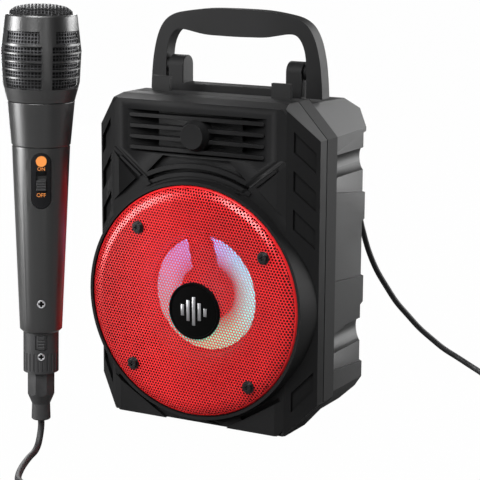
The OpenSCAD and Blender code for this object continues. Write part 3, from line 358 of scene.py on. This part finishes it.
def finished(name, bm, material, body, smooth=30, closed=True):
    """Makes an object of a mesh, gives it its finish and sets it on its body, if it has just one."""
    if closed:
        bmesh.ops.recalc_face_normals(bm, faces=bm.faces)
    mesh = bpy.data.meshes.new(name)
    bm.to_mesh(mesh)
    bm.free()
    mesh.materials.append(material)
    mesh.polygons.foreach_set("use_smooth", [True] * len(mesh.polygons))
    mesh.set_sharp_from_angle(angle=math.radians(smooth))
    piece = bpy.data.objects.new(name, mesh)
    bpy.context.scene.collection.objects.link(piece)
    if body:
        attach(piece, body)
    return piece


def outer_edges(bm):
    """Marks the outer edges of the front shell, the narrow ones at its top and bottom by less."""
    weight = bm.edges.layers.float.new("bevel_weight_edge")
    sharp = math.radians(40)
    narrow_share = 0.45
    # Places in millimetres past which an edge is an outer one
    side = 77
    front = -41.9
    wing = 60.5
    bottom = 4.8
    top = 204
    for edge in bm.edges:
        at_joint = any(face.normal.y > 0.7 for face in edge.link_faces)
        if at_joint or not edge.is_manifold or edge.calc_face_angle_signed() < sharp:
            continue
        spots = [v.co / MM for v in edge.verts]
        if all(abs(p.x) > side or (p.y < front and abs(p.x) > wing) for p in spots):
            edge[weight] = 1.0
        elif all(p.y < front and not bottom < p.z < top for p in spots):
            edge[weight] = narrow_share


def soften(node, material, edge, segments=2, corner=0.0):
    """A copy of a CAD node with rounded edges, which stands for it."""
    bm = bmesh.new()
    bm.from_mesh(NODES[node].data)
    bmesh.ops.remove_doubles(bm, verts=bm.verts, dist=WELD)
    bmesh.ops.dissolve_limit(
        bm, angle_limit=LEVEL, use_dissolve_boundaries=False, verts=bm.verts, edges=bm.edges
    )
    if corner:
        outer_edges(bm)
    piece = finished(node + "_dressed", bm, material, BODY_OF[node], smooth=16)
    if corner:
        broad = piece.modifiers.new("corners", "BEVEL")
        broad.width = corner
        broad.segments = 4
        broad.limit_method = "WEIGHT"
        broad.harden_normals = True
    if edge:
        bevel = piece.modifiers.new("edges", "BEVEL")
        bevel.width = edge
        bevel.segments = segments
        bevel.limit_method = "ANGLE"
        bevel.angle_limit = math.radians(20)
        bevel.harden_normals = True
        bevel.use_clamp_overlap = True
    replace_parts(piece, node)
    return piece


def coat(material, *nodes):
    """Gives CAD nodes that keep their own shape a finish."""
    for node in nodes:
        data = NODES[node].data
        data.materials.clear()
        data.materials.append(material)


def grille_depth(radius):
    """Depth of the grille's front at a distance from its middle, both in millimetres."""
    for (r0, d0), (r1, d1) in zip(GRILLE_PROFILE, GRILLE_PROFILE[1:]):
        if radius <= r1:
            return d0 + (d1 - d0) * (radius - r0) / (r1 - r0)
    return GRILLE_PROFILE[-1][1]


def turned_ring(bm, points, centre, steps=128):
    """Spins a closed profile of (radius, depth) in millimetres about the axis along Y."""
    verts = [bm.verts.new(centre + Vector((r * MM, d * MM, 0))) for r, d in points]
    edges = [bm.edges.new((verts[i], verts[(i + 1) % len(verts)])) for i in range(len(verts))]
    bmesh.ops.spin(
        bm, geom=verts + edges, cent=centre, axis=(0, 1, 0), angle=2 * math.pi,
        steps=steps, use_merge=True,
    )


# ---------------------------------------------------------------- operators


class KARAOKE_OT_case(bpy.types.Operator):
    """Finish the two shells, the louvre, the feet and the case screws"""

    bl_idname = "karaoke.case"
    bl_label = "Case"

    def execute(self, context):
        look = context.scene.karaoke_case
        front = moulded("front_plastic", look.panel_colour, roughness=0.5)
        back = self.two_tone(look)
        soften("front_shell", front, look.edge, corner=look.corner)
        soften("rear_shell", back, look.edge)
        louvre = moulded("louvre_plastic", look.panel_colour, roughness=0.4)
        soften("horn_louvre", louvre, 0.45 * MM)
        coat(rubbery("foot_rubber", (0.012, 0.012, 0.012)), "rubber_feet")
        coat(metal("screw_steel", (0.5, 0.5, 0.52)), "case_screws", "panel_screws", "driver_screws")
        return {"FINISHED"}

    @staticmethod
    def two_tone(look):
        """Coarse grained plastic of the rear shell, whose smooth rim at the joint is darker."""
        dark = look.panel_colour[:3]
        pale = look.shell_colour[:3]
        rim_end = -7.6 * MM
        shell_start = -7.3 * MM
        finish = Finish("shell_plastic", Specular_IOR_Level=0.3)
        depth = finish.node("ShaderNodeSeparateXYZ", {}, {0: finish.place()}, 1)
        behind = finish.node(
            "ShaderNodeMapRange", {}, {"Value": depth, "From Min": rim_end, "From Max": shell_start}
        )
        tone = finish.noise(35, 3) * 0.3 + behind
        finish.feed("Base Color", finish.ramp(tone, [(0.0, dark), (0.3, dark), (1.0, pale)]))
        grit = finish.noise(1500, 3, 0.6)
        finish.feed("Roughness", grit * 0.08 + (0.68 - behind * 0.22))
        finish.bump(grit, 0.6, 0.06 * MM)
        return finish.material


class KARAOKE_OT_grille(bpy.types.Operator):
    """Punch the perforated grille, with its plain rolled rim and four screws"""

    bl_idname = "karaoke.grille"
    bl_label = "Grille"

    # Radius of the punched field, depth of a hole's walls and section of the rim, in millimetres
    field = 71.3
    wall = 0.4
    rim = ((71.2, -6.9), (71.9, -6.25), (72.4, -5.0), (71.7, -5.0), (71.4, -5.9), (71.0, -6.4))
    # Turn of the rows in degrees, and how often the first two cells are doubled sideways and upwards
    tilt = -4
    doubled_across = 7
    doubled_up = 6
    # Corners of neighbouring cells that are closer than this, in millimetres, are one
    weld = 0.02

    def execute(self, context):
        look = context.scene.karaoke_grille
        red = lacquered("grille_lacquer", look.colour, roughness=0.32, coat=0.35, metallic=0.2)
        bm = bmesh.new()
        step = look.pitch
        row = step * math.sqrt(3) / 2
        bmesh.ops.create_circle(bm, cap_ends=True, segments=6, radius=step / math.sqrt(3))
        self.repeat(bm, Vector((step / 2, row, 0)))
        for k in range(self.doubled_across):
            self.repeat(bm, Vector((step * 2 ** k, 0, 0)))
        for k in range(self.doubled_up):
            self.repeat(bm, Vector((0, 2 * row * 2 ** k, 0)))
        middle = Vector((2 ** (self.doubled_across - 1) * step, 2 ** self.doubled_up * row, 0))
        bmesh.ops.translate(bm, verts=bm.verts, vec=-middle)
        bmesh.ops.rotate(bm, verts=bm.verts, matrix=Matrix.Rotation(math.radians(self.tilt), 3, "Z"))
        outside = [f for f in bm.faces if f.calc_center_median().length > self.field * MM]
        bmesh.ops.delete(bm, geom=outside, context="FACES")
        bmesh.ops.remove_doubles(bm, verts=bm.verts, dist=self.weld * MM)
        cells = list(bm.faces)
        bmesh.ops.inset_individual(bm, faces=cells, thickness=look.web / 2, use_even_offset=True)
        bmesh.ops.delete(bm, geom=cells, context="FACES_ONLY")
        rims = [e for e in bm.edges if e.is_boundary]
        walls = bmesh.ops.extrude_edge_only(bm, edges=rims)["geom"]
        deep = {v for v in walls if isinstance(v, bmesh.types.BMVert)}
        for v in bm.verts:
            radius = v.co.length / MM
            depth = grille_depth(radius) + (self.wall if v in deep else 0.0)
            v.co = Vector((v.co.x, PANEL_Y + depth * MM, GRILLE_Z + v.co.y))
        sheet = finished("grille_sheet", bm, red, "root", smooth=60, closed=False)
        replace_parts(sheet, "grille")
        bm = bmesh.new()
        turned_ring(bm, self.rim, Vector((0, PANEL_Y, GRILLE_Z)))
        finished("grille_rim", bm, red, "root", smooth=60)
        black = lacquered("screw_black", (0.004, 0.004, 0.0045), roughness=0.3, coat=0.1)
        soften("grille_screws", black, 0.25 * MM)
        return {"FINISHED"}

    @staticmethod
    def repeat(bm, offset):
        """Doubles all cells by a shifted copy of them."""
        made = bmesh.ops.duplicate(bm, geom=list(bm.faces))["geom"]
        bmesh.ops.translate(bm, verts=[g for g in made if isinstance(g, bmesh.types.BMVert)], vec=offset)


class KARAOKE_OT_badge(bpy.types.Operator):
    """Finish the round centre badge with five plain level bars"""

    bl_idname = "karaoke.badge"
    bl_label = "Badge"

    # Heights, width, thickness and spacing of the bars, and place of the middle one, in millimetres
    heights = (7, 13, 18, 11, 5)
    width = 2.2
    thickness = 0.5
    spacing = 4
    middle_x = 4.1
    middle_depth = 11.45

    def execute(self, context):
        black = lacquered("badge_black", (0.001, 0.001, 0.001), roughness=0.5, coat=0, shine=0.05)
        soften("centre_badge", black, 0.2 * MM)
        bm = bmesh.new()
        for i, height in enumerate(self.heights):
            made = bmesh.ops.create_cube(bm, size=1)["verts"]
            bmesh.ops.scale(bm, verts=made, vec=(self.width * MM, self.thickness * MM, height * MM))
            x = self.middle_x * MM + (i - 2) * self.spacing * MM
            spot = Vector((x, PANEL_Y - self.middle_depth * MM, BADGE_Z))
            bmesh.ops.translate(bm, verts=made, vec=spot)
        bmesh.ops.bevel(
            bm, geom=list(bm.edges), offset=0.2 * MM, affect="EDGES", segments=2, profile=0.5, material=-1
        )
        silver = metal("badge_silver", (0.6, 0.6, 0.62), roughness=0.35)
        finished("badge_bars", bm, silver, "root")
        return {"FINISHED"}


class KARAOKE_OT_driver(bpy.types.Operator):
    """Finish the loudspeaker and its lamps behind the grille"""

    bl_idname = "karaoke.driver"
    bl_label = "Driver and lamps"

    def execute(self, context):
        look = context.scene.karaoke_lamp
        dark = moulded("lamp_housing", (0.008, 0.008, 0.009), roughness=0.5)
        # The cone's light is painted: its finish glows
        coat(painted_light_cone("lit_cone_paper", look.strength), "driver_cone")
        coat(dark, "led_holder", "battery_holder")
        self.surround(rubbery("surround_rubber", (0.008, 0.008, 0.008)))
        coat(lacquered("basket_paint", (0.02, 0.02, 0.021), roughness=0.4), "driver_basket", "dust_cap")
        coat(fibrous("spider_cloth", (0.5, 0.33, 0.12)), "driver_spider")
        coat(metal("copper_wire", (0.7, 0.36, 0.18)), "voice_coil")
        coat(moulded("ferrite", (0.05, 0.05, 0.053), roughness=0.6, grain=900), "driver_magnet")
        coat(metal("zinc_steel", (0.55, 0.56, 0.58)), "pole_piece")
        coat(lacquered("board_lacquer", (0.02, 0.13, 0.05), roughness=0.25), "led_board", "main_board")
        coat(lacquered("cell_sleeve", (0.05, 0.2, 0.5)), "battery")
        return {"FINISHED"}

    @staticmethod
    def surround(rubber):
        """The soft edge of the cone, as one skin set on no body."""
        bm = bmesh.new()
        bm.from_mesh(NODES["driver_surround"].data)
        bmesh.ops.remove_doubles(bm, verts=bm.verts, dist=WELD)
        edge = finished("surround_skin", bm, rubber, None, smooth=40)
        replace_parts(edge, "driver_surround")
        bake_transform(edge)


class KARAOKE_OT_handle(bpy.types.Operator):
    """Finish the folding handle, its base and its pins"""

    bl_idname = "karaoke.handle"
    bl_label = "Handle"

    def execute(self, context):
        look = context.scene.karaoke_case
        plastic = moulded("handle_plastic", look.panel_colour, roughness=0.45, grain=1900, depth=0.4)
        soften("handle", plastic, 1.8 * MM, segments=4)
        soften("handle_base", plastic, 0.6 * MM)
        coat(metal("pin_steel", (0.5, 0.5, 0.52)), "handle_pins")
        return {"FINISHED"}


class KARAOKE_OT_controls(bpy.types.Operator):
    """Finish the control panel on the back"""

    bl_idname = "karaoke.controls"
    bl_label = "Rear controls"

    def execute(self, context):
        look = context.scene.karaoke_case
        soften("rear_panel", moulded("plate_plastic", look.panel_colour, roughness=0.3), 0.35 * MM)
        keys = moulded("key_plastic", (0.03, 0.03, 0.033), roughness=0.35)
        for node in ("button_mode", "button_previous", "button_play", "button_next"):
            soften(node, keys, 0.4 * MM)
        soften("volume_knob", keys, 0.35 * MM)
        white = moulded("white_plastic", (0.75, 0.75, 0.74), roughness=0.35)
        soften("power_switch", white, 0.3 * MM)
        coat(moulded("socket_plastic", (0.02, 0.02, 0.021), roughness=0.45), "mic_jack", "aux_jack")
        coat(metal("socket_steel", (0.6, 0.6, 0.62)), "usb_socket", "card_slot", "charge_socket")
        coat(lacquered("lamp_plastic", (0.75, 0.72, 0.6), roughness=0.15, coat=0.5), "charge_lamp")
        return {"FINISHED"}


class KARAOKE_OT_microphone(bpy.types.Operator):
    """Finish the microphone, its switch and the connector at its tail"""

    bl_idname = "karaoke.microphone"
    bl_label = "Microphone"

    # The wire basket in millimetres: (height, radius) up its side, (radius, height) over its dome
    side = ((192.3, 17.9), (202.3, 20.4), (220.4, 21.3), (241.5, 18.9))
    dome = ((0, 247.1), (8, 246.7), (14, 245.5), (17.4, 243.6), (18.9, 241.5), (30, 241.5))
    side_height = 49.2
    side_rows = 25
    side_columns = 64
    dome_cells = 20
    # Half the width of the dome's grid, radius that its cells keep to, half a wire and a hole's depth
    dome_reach = 20
    dome_radius = 18.3
    half_wire = 0.28
    wire_depth = 0.5
    # Round mark: radius, thickness, distance in front of the axis and height, in millimetres
    mark_radius = 3.1
    mark_thickness = 0.2
    mark_front = 17.05
    mark_height = 158.4
    # Heights and sizes of the words over and under the slider, in millimetres
    on_height = 153.0
    on_size = 2.9
    off_height = 137.6
    off_size = 3.1

    def execute(self, context):
        look = context.scene.karaoke_microphone
        paint = lacquered("microphone_lacquer", look.colour, roughness=0.34, coat=1, shine=1, haze=0.34)
        dark = moulded("connector_plastic", (0.03, 0.03, 0.031), roughness=0.4, shine=0.5)
        soften("mic_head_shell", paint, 0.3 * MM)
        soften("mic_collar", paint, 0.3 * MM)
        soften("mic_handle", paint, 0.25 * MM)
        plate = moulded("plate_black", (0.01, 0.01, 0.011), roughness=0.35)
        soften("mic_switch_plate", plate, 0.2 * MM)
        soften("mic_switch_slider", dark, 0.2 * MM)
        soften("connector_shell", dark, 0.3 * MM)
        soften("connector_ring", dark, 0.25 * MM)
        boot = rubbery("boot_rubber", (0.028, 0.028, 0.029), roughness=0.5)
        soften("connector_boot", boot, 0.3 * MM)
        soften("connector_latch", dark, 0.2 * MM)
        plated = metal("microphone_screw", (0.85, 0.85, 0.87), roughness=0.45)
        soften("mic_screws", plated, 0.2 * MM)
        self.basket(metal("mesh_wire", (0.08, 0.08, 0.083), roughness=0.45))
        coat(fibrous("wind_foam", (0.01, 0.01, 0.01), scale=2500), "mic_foam")
        coat(metal("capsule_metal", (0.5, 0.5, 0.52)), "mic_capsule")
        coat(dark, "mic_switch_body")
        self.marks(look)
        # Dark crosses of painted shade stand for the shadowed cross recesses of two screws
        self.recess(height=73.3, front=13.2, radius=2.4)
        self.recess(height=40.6, front=10.7, radius=2.1)
        return {"FINISHED"}

    @staticmethod
    def recess(height, front, radius):
        """Puts a dark cross of painted shade on the floor of the cross recess in a screw of the given
        place and head radius.
        """
        # Width and length of an arm as shares of the radius, then millimetres
        slim = 0.56
        full = 1.42
        floor = 0.3
        sunk = 0.42
        bm = bmesh.new()
        for wide, tall in ((slim, full), (full, slim)):
            made = bmesh.ops.create_cube(bm, size=MM)["verts"]
            bmesh.ops.scale(bm, verts=made, vec=(wide * radius, floor, tall * radius))
            bmesh.ops.translate(bm, verts=made, vec=(0, -(front - sunk) * MM, height * MM))
        bmesh.ops.bevel(
            bm, geom=list(bm.edges), offset=0.05 * MM, affect="EDGES", segments=1, profile=0.5, material=-1
        )
        bmesh.ops.transform(bm, matrix=MIC_PLACE, verts=bm.verts)
        # The cross's dark finish is painted shade
        shade = bpy.data.materials.get("recess_shade")
        if shade is None:
            shade = metal("recess_shade", (0.02, 0.02, 0.02), roughness=0.5)
        finished("screw_recess_%d" % height, bm, shade, "root")

    def basket(self, wire):
        """Weaves the wire basket: square holes round the side and over the dome."""
        low = self.side[0][0]
        bm = bmesh.new()
        rows = [low + self.side_height * i / self.side_rows for i in range(self.side_rows + 1)]
        line = [bm.verts.new((self.reach(h, self.side) * MM, 0, h * MM)) for h in rows]
        edges = [bm.edges.new(pair) for pair in zip(line, line[1:])]
        bmesh.ops.spin(
            bm, geom=line + edges, cent=(0, 0, 0), axis=(0, 0, 1), angle=2 * math.pi,
            steps=self.side_columns, use_merge=True,
        )
        self.pierce(bm, Vector((1, 1, 0)))
        bmesh.ops.transform(bm, matrix=MIC_PLACE, verts=bm.verts)
        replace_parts(finished("basket_side", bm, wire, "root"), "mic_mesh")
        bm = bmesh.new()
        bmesh.ops.create_grid(
            bm, x_segments=self.dome_cells, y_segments=self.dome_cells, size=self.dome_reach * MM
        )
        outside = [f for f in bm.faces if f.calc_center_median().length > self.dome_radius * MM]
        bmesh.ops.delete(bm, geom=outside, context="FACES")
        edge_radius = self.side[-1][1]
        for v in bm.verts:
            v.co.z = self.reach(min(v.co.length / MM, edge_radius), self.dome) * MM
        self.pierce(bm, Vector((0, 0, 1)))
        bmesh.ops.transform(bm, matrix=MIC_PLACE, verts=bm.verts)
        finished("basket_dome", bm, wire, "root")

    @staticmethod
    def reach(place, points):
        """Value at a place along a line of (place, value) points."""
        for (a, x), (b, y) in zip(points, points[1:]):
            if place <= b:
                return x + (y - x) * (place - a) / (b - a)
        return points[-1][1]

    def pierce(self, bm, inwards):
        """Opens a square hole in every cell and gives its walls a depth."""
        cells = list(bm.faces)
        bmesh.ops.inset_individual(bm, faces=cells, thickness=self.half_wire * MM, use_even_offset=True)
        bmesh.ops.delete(bm, geom=cells, context="FACES_ONLY")
        rims = [e for e in bm.edges if e.is_boundary]
        walls = bmesh.ops.extrude_edge_only(bm, edges=rims)["geom"]
        for v in walls:
            if isinstance(v, bmesh.types.BMVert):
                spot = Vector(a * b for a, b in zip(v.co, inwards))
                v.co -= spot.normalized() * self.wire_depth * MM

    def marks(self, look):
        """Prints the round mark and the two words of the switch on its plate."""
        orange = lacquered("mark_paint", look.mark_colour, roughness=0.5, coat=0)
        radius = self.mark_radius * MM
        bm = bmesh.new()
        made = bmesh.ops.create_cone(
            bm, cap_ends=True, segments=40, radius1=radius, radius2=radius, depth=self.mark_thickness * MM
        )["verts"]
        bmesh.ops.rotate(bm, verts=made, matrix=Matrix.Rotation(math.radians(90), 3, "X"))
        bmesh.ops.translate(bm, verts=made, vec=(0, -self.mark_front * MM, self.mark_height * MM))
        self.word(bm, "ON", self.on_size, self.on_height)
        self.word(bm, "OFF", self.off_size, self.off_height)
        bmesh.ops.transform(bm, matrix=MIC_PLACE, verts=bm.verts)
        finished("switch_marks", bm, orange, "root")

    @staticmethod
    def word(bm, letters, size, height):
        """Adds a word that lies on the switch plate, which widens upwards with the microphone's handle."""
        plate_low = 56.2
        plate_rise = 108.8
        low_radius = 12.5
        widening = 4.35
        plate_thickness = 0.3
        radius = low_radius + widening * (height - plate_low) / plate_rise + plate_thickness
        raised = 0.06
        curve = bpy.data.curves.new("word", "FONT")
        curve.body = letters
        curve.size = size * MM
        curve.align_x = "CENTER"
        curve.extrude = 0.08 * MM
        holder = bpy.data.objects.new("word", curve)
        mesh = bpy.data.meshes.new_from_object(holder)
        spot = Matrix.Translation((0, -(radius + raised) * MM, height * MM))
        mesh.transform(spot @ Matrix.Rotation(math.radians(90), 4, "X"))
        bm.from_mesh(mesh)
        bpy.data.objects.remove(holder)
        bpy.data.curves.remove(curve)
        bpy.data.meshes.remove(mesh)


class KARAOKE_OT_cord(bpy.types.Operator):
    """Lay the microphone's cord from its tail to the plug behind the case"""

    bl_idname = "karaoke.cord"
    bl_label = "Cord"

    radius = 2
    # Points of the way in millimetres, from the microphone to the coil and from the coil to the plug
    front = (
        (-59.5, -126, 19.7), (-59.5, -126, 15.5), (-59.3, -127.4, 10.5), (-58.4, -131, 5.2),
        (-56.8, -137, 2.5), (-53.8, -147.1, 2.1), (-47.3, -162.8, 2.1), (-40, -176.6, 2.1),
        (-33.9, -183.7, 2.1), (-25.2, -186.9, 2.1), (-15.5, -185, 2.1), (10, -170.4, 2.1),
        (45, -150.4, 2.1), (80, -130.3, 2.1), (115, -110.3, 2.1), (150, -90.2, 2.1),
        (180, -73, 2.1), (193, -65, 2.1), (200.3, -58, 2.1), (203, -48.5, 2.1),
        (200.6, -40, 2.1), (190, -12.6, 2.1), (175, 26, 2.1), (160, 64.6, 2.1),
        (152.65, 83.6, 2.1), (151.2, 87.3, 2.1),
    )
    rear = (
        (151.2, 87.3, 15.6), (149.75, 91, 15.6), (144.8, 103.8, 14.4), (139.5, 117.5, 10.5),
        (134.5, 129.5, 6), (128.5, 140, 3), (120.5, 150, 2.1), (109.7, 161.2, 2.1),
        (98.5, 171.8, 2.3), (92, 175, 3.9), (85.9, 175, 6.8), (77.5, 171.8, 12.3),
        (69.2, 168, 19.7), (62, 163.5, 27.3), (55.3, 158, 36.9), (49.6, 151, 47),
        (45.5, 143, 58.8), (41.4, 134.2, 72.4), (38.9, 125.5, 87.5), (38, 117.2, 103.4),
        (37.4, 114.3, 111), (36.6, 111, 118.2), (36, 106.8, 123.8), (36, 103.5, 126), (36, 99.3, 126),
    )

    def execute(self, context):
        steps = context.scene.karaoke_cord.steps
        route = self.rounded(self.front, steps)[:-1] + self.coil() + self.rounded(self.rear, steps)[1:]
        curve = bpy.data.curves.new("microphone_cord", "CURVE")
        curve.dimensions = "3D"
        curve.bevel_depth = self.radius * MM
        curve.bevel_resolution = 3
        curve.use_fill_caps = True
        spline = curve.splines.new("POLY")
        spline.points.add(len(route) - 1)
        for point, spot in zip(spline.points, route):
            point.co = (*(Vector(spot) * MM), 1)
        curve.materials.append(rubbery("cord_rubber", (0.012, 0.012, 0.013), roughness=0.6))
        cord = bpy.data.objects.new("microphone_cord", curve)
        context.scene.collection.objects.link(cord)
        soften("plug_body", bpy.data.materials["boot_rubber"], 0.3 * MM)
        coat(metal("plug_metal", (0.75, 0.75, 0.77), roughness=0.15), "plug_contact")
        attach(cord, "root")
        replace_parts(cord, "mic_cord", "cord_coil", "plug_cord")
        return {"FINISHED"}

    @staticmethod
    def rounded(points, steps):
        """Points on a smooth path through the given ones, so many for each of them."""
        points = [Vector(p) for p in points]
        last = len(points) - 1
        path = []
        for i in range(last):
            a, b, c, e = points[max(i - 1, 0)], points[i], points[i + 1], points[min(i + 2, last)]
            for k in range(steps):
                t = k / steps
                path.append(
                    0.5 * (2 * b + (c - a) * t + (2 * a - 5 * b + 4 * c - e) * t * t
                           + (3 * b - a - 3 * c + e) * t ** 3)
                )
        return path + [points[last]]

    @staticmethod
    def coil():
        """The wound middle of the cord: flat layers in and out, climbing where they turn back."""
        gate = (151.2, 87.3)
        way = (-0.362, 0.932)
        outer = 31.3
        step = 4.5
        turns = 3.25
        layers = 4
        rings = 24
        floor = 2.1
        inner = outer - turns * step
        middle = (gate[0] + outer * way[1], gate[1] - outer * way[0])
        start = math.atan2(gate[1] - middle[1], gate[0] - middle[0])
        path = []
        for i in range(int(rings * turns * layers) + 1):
            t = i / rings
            swing = abs((t / turns) % 2 - 1)
            climb = sum(min(max(2 * (t - k * turns) + 0.5, 0), 1) for k in (1, 2, 3))
            radius = inner + (outer - inner) * swing
            angle = start - 2 * math.pi * t
            x = middle[0] + radius * math.cos(angle)
            y = middle[1] + radius * math.sin(angle)
            path.append((x, y, floor + step * climb))
        return path


class KARAOKE_OT_studio(bpy.types.Operator):
    """Set the floor, the lamps and the camera"""

    bl_idname = "karaoke.studio"
    bl_label = "Studio"

    def execute(self, context):
        look = context.scene.karaoke_studio
        self.floor()
        self.world(context.scene, look.air)
        right_share = 0.35
        self.lamp("key_lamp", look.key, azimuth=6, height=40, distance=1.35, width=0.7, tall=0.7)
        self.lamp("fill_lamp", look.fill, azimuth=46, height=6, distance=1.4, width=0.3, tall=1.0)
        self.lamp("side_lamp", look.side, azimuth=146, height=15, distance=1.2, width=0.9, tall=0.9)
        self.lamp("strip_lamp", look.strip, azimuth=-50, height=2, distance=1.1, width=0.42, tall=1.1)
        self.lamp("back_left_lamp", look.back, azimuth=-132, height=12, distance=1.3, width=0.6, tall=1.2)
        self.lamp(
            "back_right_lamp", look.back * right_share, azimuth=176, height=10, distance=1.4,
            width=0.6, tall=1.2,
        )
        self.lamp("top_lamp", look.top, azimuth=20, height=78, distance=1.3, width=0.9, tall=0.9)
        self.camera(context.scene)
        context.scene.view_settings.view_transform = "Standard"
        return {"FINISHED"}

    @staticmethod
    def floor():
        """White paper that the camera sees evenly bright, with a faint shadow where things stand."""
        reach = 12
        below = 0.4 * MM
        white_share = 0.99
        bm = bmesh.new()
        bmesh.ops.create_grid(bm, x_segments=4, y_segments=4, size=reach)
        bmesh.ops.translate(bm, verts=bm.verts, vec=(0, 0, -below))
        mesh = bpy.data.meshes.new("studio_floor")
        bm.to_mesh(mesh)
        bm.free()
        paper = Finish("studio_paper", Roughness=0.9, Base_Color=(0.16, 0.16, 0.16, 1))
        white = paper.node("ShaderNodeEmission", {}, {"Color": (1, 1, 1, 1), "Strength": 1.0})
        plain = Value(paper, paper.shader.outputs[0])
        share = paper.node("ShaderNodeLightPath") * white_share
        mixed = paper.node("ShaderNodeMixShader", {}, {0: share, 1: plain, 2: white})
        out = paper.tree.nodes["Material Output"]
        paper.tree.links.new(mixed.socket, out.inputs["Surface"])
        mesh.materials.append(paper.material)
        floor = bpy.data.objects.new("studio_floor", mesh)
        bpy.context.scene.collection.objects.link(floor)

    @staticmethod
    def world(scene, strength):
        """Air that is white to the camera and lights the object only faintly."""
        world = bpy.data.worlds.new("studio_air")
        world.use_nodes = True
        tree = world.node_tree
        rays = tree.nodes.new("ShaderNodeLightPath")
        mix = tree.nodes.new("ShaderNodeMix")
        tree.links.new(rays.outputs["Is Camera Ray"], mix.inputs["Factor"])
        mix.inputs["A"].default_value = strength
        mix.inputs["B"].default_value = 1.0
        background = tree.nodes["Background"]
        background.inputs["Color"].default_value = (1, 1, 1, 1)
        tree.links.new(mix.outputs["Result"], background.inputs["Strength"])
        scene.world = world

    @staticmethod
    def lamp(name, power, azimuth, height, distance, width, tall):
        """A soft box that stands at an angle round the object and looks at its middle."""
        middle = Vector((0, 0, 0.12))
        data = bpy.data.lights.new(name, "AREA")
        data.shape = "RECTANGLE"
        data.size = width
        data.size_y = tall
        data.energy = power
        turn = math.radians(azimuth)
        lift = math.radians(height)
        away = Vector((math.sin(turn) * math.cos(lift), -math.cos(turn) * math.cos(lift), math.sin(lift)))
        lamp = bpy.data.objects.new(name, data)
        lamp.location = middle + away * distance
        lamp.rotation_euler = (-away).to_track_quat("-Z", "Y").to_euler()
        bpy.context.scene.collection.objects.link(lamp)

    @staticmethod
    def camera(scene):
        """The camera of the photograph, fitted to points of the object that are seen in it."""
        spot = (0.52906, -0.94956, 0.33549)
        yaw = math.radians(28.8157)
        pitch = math.radians(11.5649)
        roll = math.radians(0.3453)
        data = bpy.data.cameras.new("photo_camera")
        data.sensor_width = 36
        data.lens = 130.97
        data.clip_start = 0.05
        data.clip_end = 60
        camera = bpy.data.objects.new("photo_camera", data)
        level = math.cos(pitch)
        ahead = Vector((-math.sin(yaw) * level, math.cos(yaw) * level, -math.sin(pitch)))
        right = Vector((math.cos(yaw), math.sin(yaw), 0))
        up = right.cross(ahead)
        turned = math.cos(roll) * right + math.sin(roll) * up
        lifted = math.cos(roll) * up - math.sin(roll) * right
        camera.matrix_world = Matrix((
            (turned.x, lifted.x, -ahead.x, spot[0]),
            (turned.y, lifted.y, -ahead.y, spot[1]),
            (turned.z, lifted.z, -ahead.z, spot[2]),
            (0, 0, 0, 1),
        ))
        scene.collection.objects.link(camera)
        scene.camera = camera


class KARAOKE_PT_panel(bpy.types.Panel):
    """Lists the steps that finish the speaker"""

    bl_idname = "KARAOKE_PT_panel"
    bl_label = "Karaoke Speaker"
    bl_space_type = "VIEW_3D"
    bl_region_type = "UI"
    bl_category = "Karaoke Speaker"

    def draw(self, context):
        for step in STEPS:
            self.layout.operator(step.bl_idname)
        for name, look in LOOKS.items():
            box = self.layout.box()
            for key in look.__annotations__:
                box.prop(getattr(context.scene, name), key)


LOOKS = {
    "karaoke_case": CaseLook,
    "karaoke_grille": GrilleLook,
    "karaoke_lamp": LampLook,
    "karaoke_microphone": MicrophoneLook,
    "karaoke_cord": CordLook,
    "karaoke_studio": StudioLook,
}
STEPS = (
    KARAOKE_OT_case, KARAOKE_OT_grille, KARAOKE_OT_badge, KARAOKE_OT_driver, KARAOKE_OT_handle,
    KARAOKE_OT_controls, KARAOKE_OT_microphone, KARAOKE_OT_cord, KARAOKE_OT_studio,
)


def register():
    for name, look in LOOKS.items():
        bpy.utils.register_class(look)
        setattr(bpy.types.Scene, name, PointerProperty(type=look))
    for step in (*STEPS, KARAOKE_PT_panel):
        bpy.utils.register_class(step)


def unregister():
    for step in reversed((*STEPS, KARAOKE_PT_panel)):
        bpy.utils.unregister_class(step)
    for name, look in LOOKS.items():
        delattr(bpy.types.Scene, name)
        bpy.utils.unregister_class(look)


def main():
    register()
    for step in STEPS:
        group, name = step.bl_idname.split(".")
        getattr(getattr(bpy.ops, group), name)()


if __name__ == "__main__":
    main()
